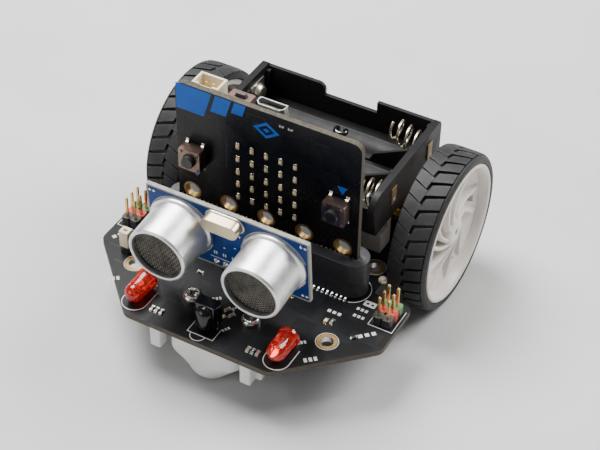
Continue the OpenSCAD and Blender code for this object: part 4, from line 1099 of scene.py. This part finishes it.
def build_tyre(side):
    f, w, radius = wheel_frame(side)
    p = detail(f"{side}_tyre", "tyre_rubber", f"{side}_wheel")
    base = radius - 1.0
    seam, ridge = 0.43 * w, 0.9 * w

    def crown(z):
        """Radius of the tread surface across the tyre."""
        u = abs(z - w / 2) / (w / 2)
        return radius - 0.05 - 1.6 * max(0.0, u - 0.5) ** 2

    carcass = [(18.0, 1.9), (18.85, 1.55), (18.85, 0.35), (19.1, 0.08), (19.6, 0.0), (base - 0.3, 0.02),
               (base, 0.3), (base, ridge + 0.05), (crown(ridge) - 0.12, ridge + 0.2),
               (crown(w) - 0.15, w - 0.5), (crown(w) - 0.65, w - 0.1), (20.0, w - 0.02), (19.8, w - 0.14),
               (19.55, w - 0.02), (19.2, w - 0.06), (19.0, w - 0.3), (19.0, w - 1.25), (18.0, w - 1.5)]
    p.lathe(carcass, RUBBER, f, 144, closed=True)
    count = 34
    step = 360 / count

    def block(a0, a1, z_in, z_out, slant_in, slant_out, zig):
        """One tread block between two angles and two places across, with slanted ends and a zigzag seam."""
        nu, nv = 4, 5
        top, low = [], []
        for j in range(nv + 1):
            v = j / nv
            for i in range(nu + 1):
                u = i / nu
                z = z_in + (z_out - z_in) * v
                z += zig * (u - 0.5) * v if zig > 0 else -zig * (u - 0.5) * (1 - v)
                t = math.radians(a0 + (a1 - a0) * u + slant_in + (slant_out - slant_in) * v)
                for ring, rr in ((top, crown(z)), (low, base - 0.25)):
                    ring.append((-rr * math.cos(t), rr * math.sin(t), z))
        n, row = len(top), nu + 1
        faces = []
        for j in range(nv):
            for i in range(nu):
                k = j * row + i
                faces.append((k, k + 1, k + row + 1, k + row))
                faces.append((n + k, n + k + row, n + k + row + 1, n + k + 1))
        rim = (list(range(row)) + [j * row + nu for j in range(1, nv + 1)]
               + [nv * row + i for i in range(nu - 1, -1, -1)] + [j * row for j in range(nv - 1, 0, -1)])
        for a, b in zip(rim, rim[1:] + rim[:1]):
            faces.append((a, b, b + n, a + n))
        p.add(top + low, faces, RUBBER, f)

    for i in range(count):
        a = i * step
        # inner row with narrow grooves, then half a pitch on the outer row with wider ones
        block(a + 0.5, a + step - 0.5, 0.12, seam - 0.2, 0, -5.0, 0.7)
        block(a + step / 2 + 0.9, a + step * 1.5 - 0.9, seam + 0.2, ridge, -5.0, -0.5, -0.7)
    p.done(0.12, 2, angle=40)


def build_rim(side):
    f, w, _ = wheel_frame(side)
    p = detail(f"{side}_rim", "rim_plastic", f"{side}_wheel")
    bead, hub_r, spokes = 18.9, 4.2, 5
    lip = [(bead - 1.7, 0.55), (bead - 0.25, 0.55), (bead - 0.2, 1.6), (bead - 1.0, 1.8)]
    lip += [(bead - inset, w - drop) for inset, drop in (
        (1.0, 1.5), (0.1, 1.25), (0, 1.0), (0, 0.25), (0.25, 0), (0.7, 0), (1.2, 0.35), (1.6, 1.1), (2.0, 2.4),
        (2.3, 4.4))] + [(bead - 2.3, 1.7)]
    p.lathe(lip, RIM, f, 128, closed=True)
    top = w - 1.0
    hub = [(1.5, -1.6), (3.3, -1.6), (3.4, -1.45), (3.4, 0.2), (hub_r - 0.1, 0.9), (hub_r, 1.2),
           (hub_r, top - 1.1), (hub_r - 0.3, top - 0.5), (hub_r - 1.0, top - 0.12), (2.2, top),
           (1.2, top - 0.02), (1.0, top - 0.15), (0.95, top - 0.5), (0.95, top - 2.4), (1.5, top - 2.4)]
    p.lathe(hub, RIM, f, 64, closed=True)

    def web_top(r):
        return 3.7 + (w - 2.7 - 3.7) * max(0.0, (r - 3) / 13.8) ** 1.25

    def sweep(r):
        """How far round a spoke has swept at a radius, in degrees."""
        u = min(1.0, max(0.0, (r - 3.7) / 13.8))
        return 180 + 57 * (1 - (1 - u) ** 2.2)

    # dished web with a vent between neighbouring pairs of spokes and a slot inside each pair
    na = 240
    radii = [3.9, 4.6, 5.2, 5.7, 6.2, 6.7, 7.2, 8.2, 9.4, 10.6, 11.8, 12.8, 13.4, 14.0, 14.6, 15.2, 15.8,
             16.4, 16.9]

    def is_open(i, j):
        r = (radii[j] + radii[j + 1]) / 2
        a = ((i % na + 0.5) * 360 / na - sweep(r)) % (360 / spokes)
        return (5.2 < r < 7.2 and abs(a - 36) < 7.5) or (12.8 < r < 15.2 and min(a, 72 - a) < 4)

    def at(i, j, low):
        t, r = math.radians(360 * i / na), radii[j]
        return (-r * math.cos(t), r * math.sin(t), web_top(r) - (1.5 if low else 0))

    nj = len(radii)
    verts = [at(i, j, low) for low in (0, 1) for j in range(nj) for i in range(na)]
    size = nj * na
    faces = []
    for j in range(nj - 1):
        for i in range(na):
            a, b = j * na + i, j * na + (i + 1) % na
            if not is_open(i, j):
                faces += [(a, b, b + na, a + na), (size + b, size + a, size + a + na, size + b + na)]
                continue
            for blocked, edge in ((not is_open(i - 1, j), (a, a + na)), (not is_open(i + 1, j), (b + na, b)),
                                  (not is_open(i, j - 1), (b, a)), (not is_open(i, j + 1), (a + na, b + na))):
                if blocked:
                    faces.append((edge[0], edge[1], edge[1] + size, edge[0] + size))
    p.add(verts, faces, RIM, f)

    def spoke(a):
        """A thin swept ridge with flared sides, highest at the hub."""
        rings, nr = [], 22
        for i in range(nr + 1):
            u = i / nr
            r = hub_r - 0.7 + (bead - 1.9 - hub_r + 0.7) * u
            mid = a + sweep(r)
            half = 0.62 + 0.25 * (1 - u) ** 2 + 0.35 * u ** 3
            flare = 0.7 + 0.5 * u
            low = web_top(r) - 0.2
            dip = 1.25 * math.sin(math.pi * 0.5 * min(1, u * 1.5))
            high = top - 0.3 - dip + 0.45 * u ** 3 - 0.75 * u ** 7
            side = [(half + flare + 0.5, -0.1), (half + flare * 0.55, 0.12), (half + flare * 0.22, 0.42),
                    (half, 0.8), (half * 0.8, 0.95), (half * 0.4, 1.0)]
            ring = [(-x, k) for x, k in side] + [(0, 1.01)] + [(x, k) for x, k in side[::-1]]
            rings.append([(r, mid + math.degrees(x / r), low + (high - low) * k) for x, k in ring]
                         + [(r, mid, low - 0.8)])
        verts = []
        for r, t, z in sum(rings, []):
            x, y = polar(r, t)
            verts.append((-x, y, z))
        p.add(verts, skin(nr + 1, len(rings[0])), RIM, f)

    for i in range(spokes):
        for twin in (-15, 15):
            spoke(360 * i / spokes + twin)
    p.done(0.2, 3, angle=38)


# ---------------------------------------------------------------- tray

def build_tray():
    p = detail("battery_tray", "tray_plastic")
    lo, hi = span("battery_tray")
    cy = (lo.y + hi.y) / 2
    half, deep, h = (hi.x - lo.x) / 2, (hi.y - lo.y) / 2, hi.z - lo.z
    bay, wall, floor_t, cell_r = 10.7, 1.2, 2.4, 5.3
    place = shift(0, cy, lo.z)
    across = Matrix(((0, 0, 1, 0), (1, 0, 0, 0), (0, 1, 0, 0), (0, 0, 0, 1)))
    # floor with a trough for each cell
    troughs = [point for b in (1, 0, -1) for point in arc(b * bay, wall + 5.35, cell_r, -50, -130, 8)]
    edge = deep - 0.02
    outline = ([(-edge, 0), (edge, 0), (edge, floor_t)] + [(y, min(z, floor_t)) for y, z in troughs]
               + [(-edge, floor_t)])
    p.slab(outline, -half + 1, half - 1, TRAY, place @ across)
    # end walls with the front corner rounded off, and a cell recess
    end = ([(-deep, 0), (deep, 0), (deep, h - 1.5)] + arc(deep - 1.5, h - 1.5, 1.5, 0, 90, 5)
           + arc(3.2 - deep, h - 5.2, 5.2, 90, 165, 9))
    for s in (-1, 1):
        p.slab(end, s * half - (2 if s > 0 else 0), s * half + (0 if s > 0 else 2), TRAY, place @ across)
        # inner posts that hold each contact plate
        for b in (-1.5, -0.5, 0.5, 1.5):
            y = max(-deep + 0.9, min(deep - 0.9, b * bay))
            p.box((1.2, 1.5, h - 2.6), (s * (half - 2.5), y, wall), TRAY, place)
    for s in (-1, 1):
        high = h - 0.8 if s > 0 else h - 4.5
        q, dip = half - 1, high - 3.4
        long_wall = ([(-q, 0), (q, 0), (q, high), (8.2, high), (8.2, dip), (-7.2, dip)]
                     + arc(-9.2, high - 2, 2, 0, 90, 5) + [(-q, high)])
        p.slab(long_wall, -wall / 2, wall / 2, TRAY,
               place @ shift(0, s * (deep - wall / 2), 0) @ turn(90, "X"))
        rib = [(-q, 0), (q, 0), (q, h - 1.2), (13.7, h - 7.2), (12.6, 3), (-12.6, 3), (-13.7, h - 7.2),
               (-q, h - 1.2)]
        p.slab(rib, -0.5, 0.5, TRAY, place @ shift(0, s * bay / 2, 0) @ turn(90, "X"))
    p.done(0.22, 3, angle=30)

    build_contacts(half, cy, bay, lo.z, lo.z + wall + cell_r)
    t = detail("tray_screws", "steel")
    for s in (-1, 1):
        y = cy + s * TRAY_SCREW_Y
        f = shift(0, y, lo.z + wall)
        # head and shank in the near-black steel, painted shade of their hole
        pan_head(t, f @ turn(35 * s, "Z"), 2.3, 1.1, SHADED_STEEL)
        threaded(t, f, 1.45, 5.0, 0.5, SHADED_STEEL)
        pan_head(t, beneath(0, y) @ turn(20, "Z"), 2.7, 1.4, NICKEL)
    t.done(0.05, 2)


def coil(turns, lean):
    """Points of a tapered spring that stands on z 0 and leans towards X as it rises."""
    points = []
    for i in range(int(turns * 20) + 1):
        u = i / (turns * 20)
        r, a = 4.0 - 1.4 * u, TAU * turns * u + 2.1
        rise = 7.2 * min(1.0, max(0.0, (u - 0.1) / 0.84))
        points.append((r * math.cos(a) + lean * rise, r * math.sin(a), 0.35 + rise))
    return points


def build_contacts(half, cy, bay, low, cell_z):
    """A spring and a button contact for each cell, turn and turn about, and the tabs outside the walls."""
    spr = detail("battery_springs", "steel")
    con = detail("battery_contacts", "brass")
    x_in = half - 2.3
    for b in (-1, 0, 1):
        s = 1 if b else -1
        rear = b == 1
        y = cy + b * bay
        # the rear spring sits higher and leans more
        spr.tube(coil(3.6, s * (0.5 if rear else 0.1)), 0.33, SPRING_WIRE,
                 shift(s * x_in, y, cell_z + (0.9 if rear else 0)) @ turn(-90 * s, "Y"), 10)
        con.lathe([(2.9, 0.1), (2.85, 0.35), (2.5, 1.0), (2.15, 1.4), (1.7, 1.58), (0, 1.62)], CREAM_METAL,
                  shift(-s * x_in, y, cell_z) @ turn(90 * s, "Y"), 36)
        for side in (-1, 1):
            con.slab(rounded(7.2, 7.2, 0.5), -0.15, 0.12, TIN,
                     shift(side * (x_in + 0.15), y, cell_z) @ turn(90, "Y"))
    for s in (-1, 1):
        for b in (-0.5, 0.62):
            f = shift(s * (half + 0.12), cy + b * bay * 1.7, low + 4.2)
            con.box((0.28, 2.6, 5.0), (0, 0, 0.2), OLD_BRASS, f)
            con.box((0.4, 1.2, 1.0), (0, 0, 1.2), SOLDER, f, top=0.7)
    spr.done(0, angle=60)
    con.done(0.06, 1)


# ---------------------------------------------------------------- caster

def caster_side(t, cup, cup_z, block_z, mouth_z):
    """Radii and heights up one side of the shell: round the ball cup, then straight out to the block."""
    wide, deep, corner = 10.8, 6.1, 6.0
    c, q = abs(math.cos(t)), abs(math.sin(t))
    reach = min(wide / max(c, 1e-6), deep / max(q, 1e-6))
    ix, iy = wide - corner, deep - corner
    if reach * c > ix and reach * q > iy:
        along = c * ix + q * iy
        reach = along + math.sqrt(max(0.0, along * along - ix * ix - iy * iy + corner * corner))
    rise = block_z - cup_z
    touch = math.atan2(rise, reach) - math.acos(min(1.0, cup / math.hypot(reach, rise)))
    low = math.asin((mouth_z - cup_z) / cup)
    if touch < low:
        # the straight part starts at the mouth here
        x, z = cup * math.cos(touch), cup_z + cup * math.sin(touch)
        x += (reach - x) * (mouth_z - z) / (block_z - z)
        side = [(x + (reach - x) * j * 0.02, mouth_z + (block_z - mouth_z) * j * 0.02) for j in range(7)]
    else:
        angles = [low + (touch - low) * j / 6 for j in range(7)]
        side = [(cup * math.cos(a), cup_z + cup * math.sin(a)) for a in angles]
    x, z = side[-1]
    side += [(x + (reach - x) * j / 7, z + (block_z - z) * j / 7) for j in range(1, 8)]
    return side + [(reach, 9.5), (reach, BOTTOM - 1.5)]


def build_caster():
    p = detail("caster_housing", "white_plastic")
    cy, ball, cup, block_z, mouth_z, n = -34.1, 5.5, 6.4, 7.6, 1.25, 120
    place = shift(0, cy, 0)
    sides = [caster_side(TAU * k / n, cup, ball, block_z, mouth_z) for k in range(n)]
    bore = [(2.4, 10.4)] + [(math.sqrt(max(0.5, (ball + 0.25) ** 2 - (ball - z) ** 2)), z)
                            for z in (9.2, 7.4, 5.5, 3.6, 2.2, 1.2)]
    verts = []
    for ring in [[point] * n for point in bore] + list(zip(*sides)):
        verts += [(r * math.cos(TAU * k / n), r * math.sin(TAU * k / n), z) for k, (r, z) in enumerate(ring)]
    p.add(verts, skin(len(verts) // n, n), WHITE, place)
    p.slab(rounded(29, 13.4, 1.5, 0, -33.6), BOTTOM - 1.6, BOTTOM - 0.02, WHITE)
    for s in (-1, 1):
        p.slab(rounded(3.1, 3.2, 0.5, s * 12.95, -38.7), 7.0, BOTTOM - 0.9, WHITE)
        p.slab(rounded(3.1, 3.0, 0.5, s * 14.6, -36.2), 7.4, BOTTOM - 0.9, WHITE)
        x, y = s * CASTER_SCREW[0], CASTER_SCREW[1]
        p.slab(circle(2.6, 28, x, y), BOTTOM - 6, BOTTOM - 1.5, WHITE, holes=[circle(1.1, 28, x, y)])
    p.done(0.3, 3, angle=30)
    b = detail("caster_ball", "chrome", "ball")
    b.lathe(arc(0, 0, ball, -90, 90, 30), CHROME, shift(0, cy, ball), 60)
    b.done(0, angle=60)


# ---------------------------------------------------------------- the rest: CAD nodes with their finish

def build_rest():
    for node, mats, *bevel in (
            ("sonar_socket", BLACK, 0.15), ("power_switch_body", STEEL, 0.15),
            ("power_switch_slider", BLACK, 0.12), ("buzzer", BLACK, 0.25, 3), ("line_sensors", CHIP, 0.12),
            ("battery_inlet", [CREAM, GOLD], 0.12), ("motor_cans", STEEL, 0.35, 3),
            ("motor_end_caps", [BLACK, GOLD], 0.15), ("gearbox_plates", BRASS, 0.06),
            ("motor_brackets", WHITE, 0.3, 3), ("tray_standoffs", WHITE, 0.15)):
        dress(node, mats, *bevel)
    for side in ("left", "right"):
        dress(f"{side}_motor_shaft", [STEEL, BRASS, COPPER])
        dress(f"{side}_output_shaft", [BRASS, STEEL])
        for n in ("first", "second", "third"):
            dress(f"{side}_{n}_gear", BRASS)


build_chassis_board()
build_controller()
build_buttons()
build_sonar()
build_front_parts()
build_headers()
build_screws()
build_socket()
build_usb_socket()
build_cell_socket()
build_reset()
for side in ("left", "right"):
    build_tyre(side)
    build_rim(side)
build_tray()
build_caster()
build_rest()


# ---------------------------------------------------------------- floor, light, camera

def floor():
    me = bpy.data.meshes.new("floor")
    me.from_pydata([(3 * x, 3 * y, 0) for x, y in CORNERS], [], [(0, 1, 2, 3)])
    ob = bpy.data.objects.new("floor", me)
    bpy.context.scene.collection.objects.link(ob)
    n = Nodes("floor_paper")
    col = n.mix(n.ramp(n.noise(0.02, 3), 0.3, 0.7), (0.56, 0.56, 0.555), (0.6, 0.6, 0.595))
    me.materials.append(n.end(col, 0.75, n.bump(n.noise(1.5, 3), 0.01), spec=0.3))


def lamp(name, place, size, watts):
    """A rectangular lamp that faces the car."""
    data = bpy.data.lights.new(name, "AREA")
    data.shape = "RECTANGLE"
    data.size, data.size_y = size
    data.energy = watts
    ob = bpy.data.objects.new(name, data)
    ob.location = place
    ob.rotation_mode = "QUATERNION"
    ob.rotation_quaternion = (Vector(CENTRE) - Vector(place)).to_track_quat("-Z", "Y")
    bpy.context.scene.collection.objects.link(ob)


CENTRE = (0, 0, 0.03)
floor()
lamp("key", (-0.36, 0.14, 0.72), (0.5, 0.5), 16.0)
lamp("fill", (0.40, 0.42, 0.60), (0.4, 0.4), 8.0)
lamp("front", (-0.35, -0.6, 0.3), (0.5, 0.35), 1.6)
world = bpy.data.worlds.new("studio")
world.use_nodes = True
sky = world.node_tree.nodes["Background"].inputs
sky[0].default_value, sky[1].default_value = (0.9, 0.92, 0.95, 1), 0.2
bpy.context.scene.world = world

camera = bpy.data.cameras.new("camera")
camera.lens = 98.95
camera.sensor_width = 36
camera.clip_start = 0.01
eye = bpy.data.objects.new("camera", camera)
azimuth, elevation, roll = math.radians(28.53), math.radians(41.64), math.radians(1.04)
right = Vector((math.cos(azimuth), math.sin(azimuth), 0))
back = Vector((right.y * math.cos(elevation), -right.x * math.cos(elevation), math.sin(elevation)))
up = back.cross(right)
level_right = right * math.cos(roll) + up * math.sin(roll)
level_up = -right * math.sin(roll) + up * math.cos(roll)
axes = Matrix((level_right, level_up, back)).transposed().to_4x4()
stand = (0.15547, -0.27555, 0.30340)
eye.matrix_world = Matrix.Translation(stand) @ axes
bpy.context.scene.collection.objects.link(eye)
bpy.context.scene.camera = eye
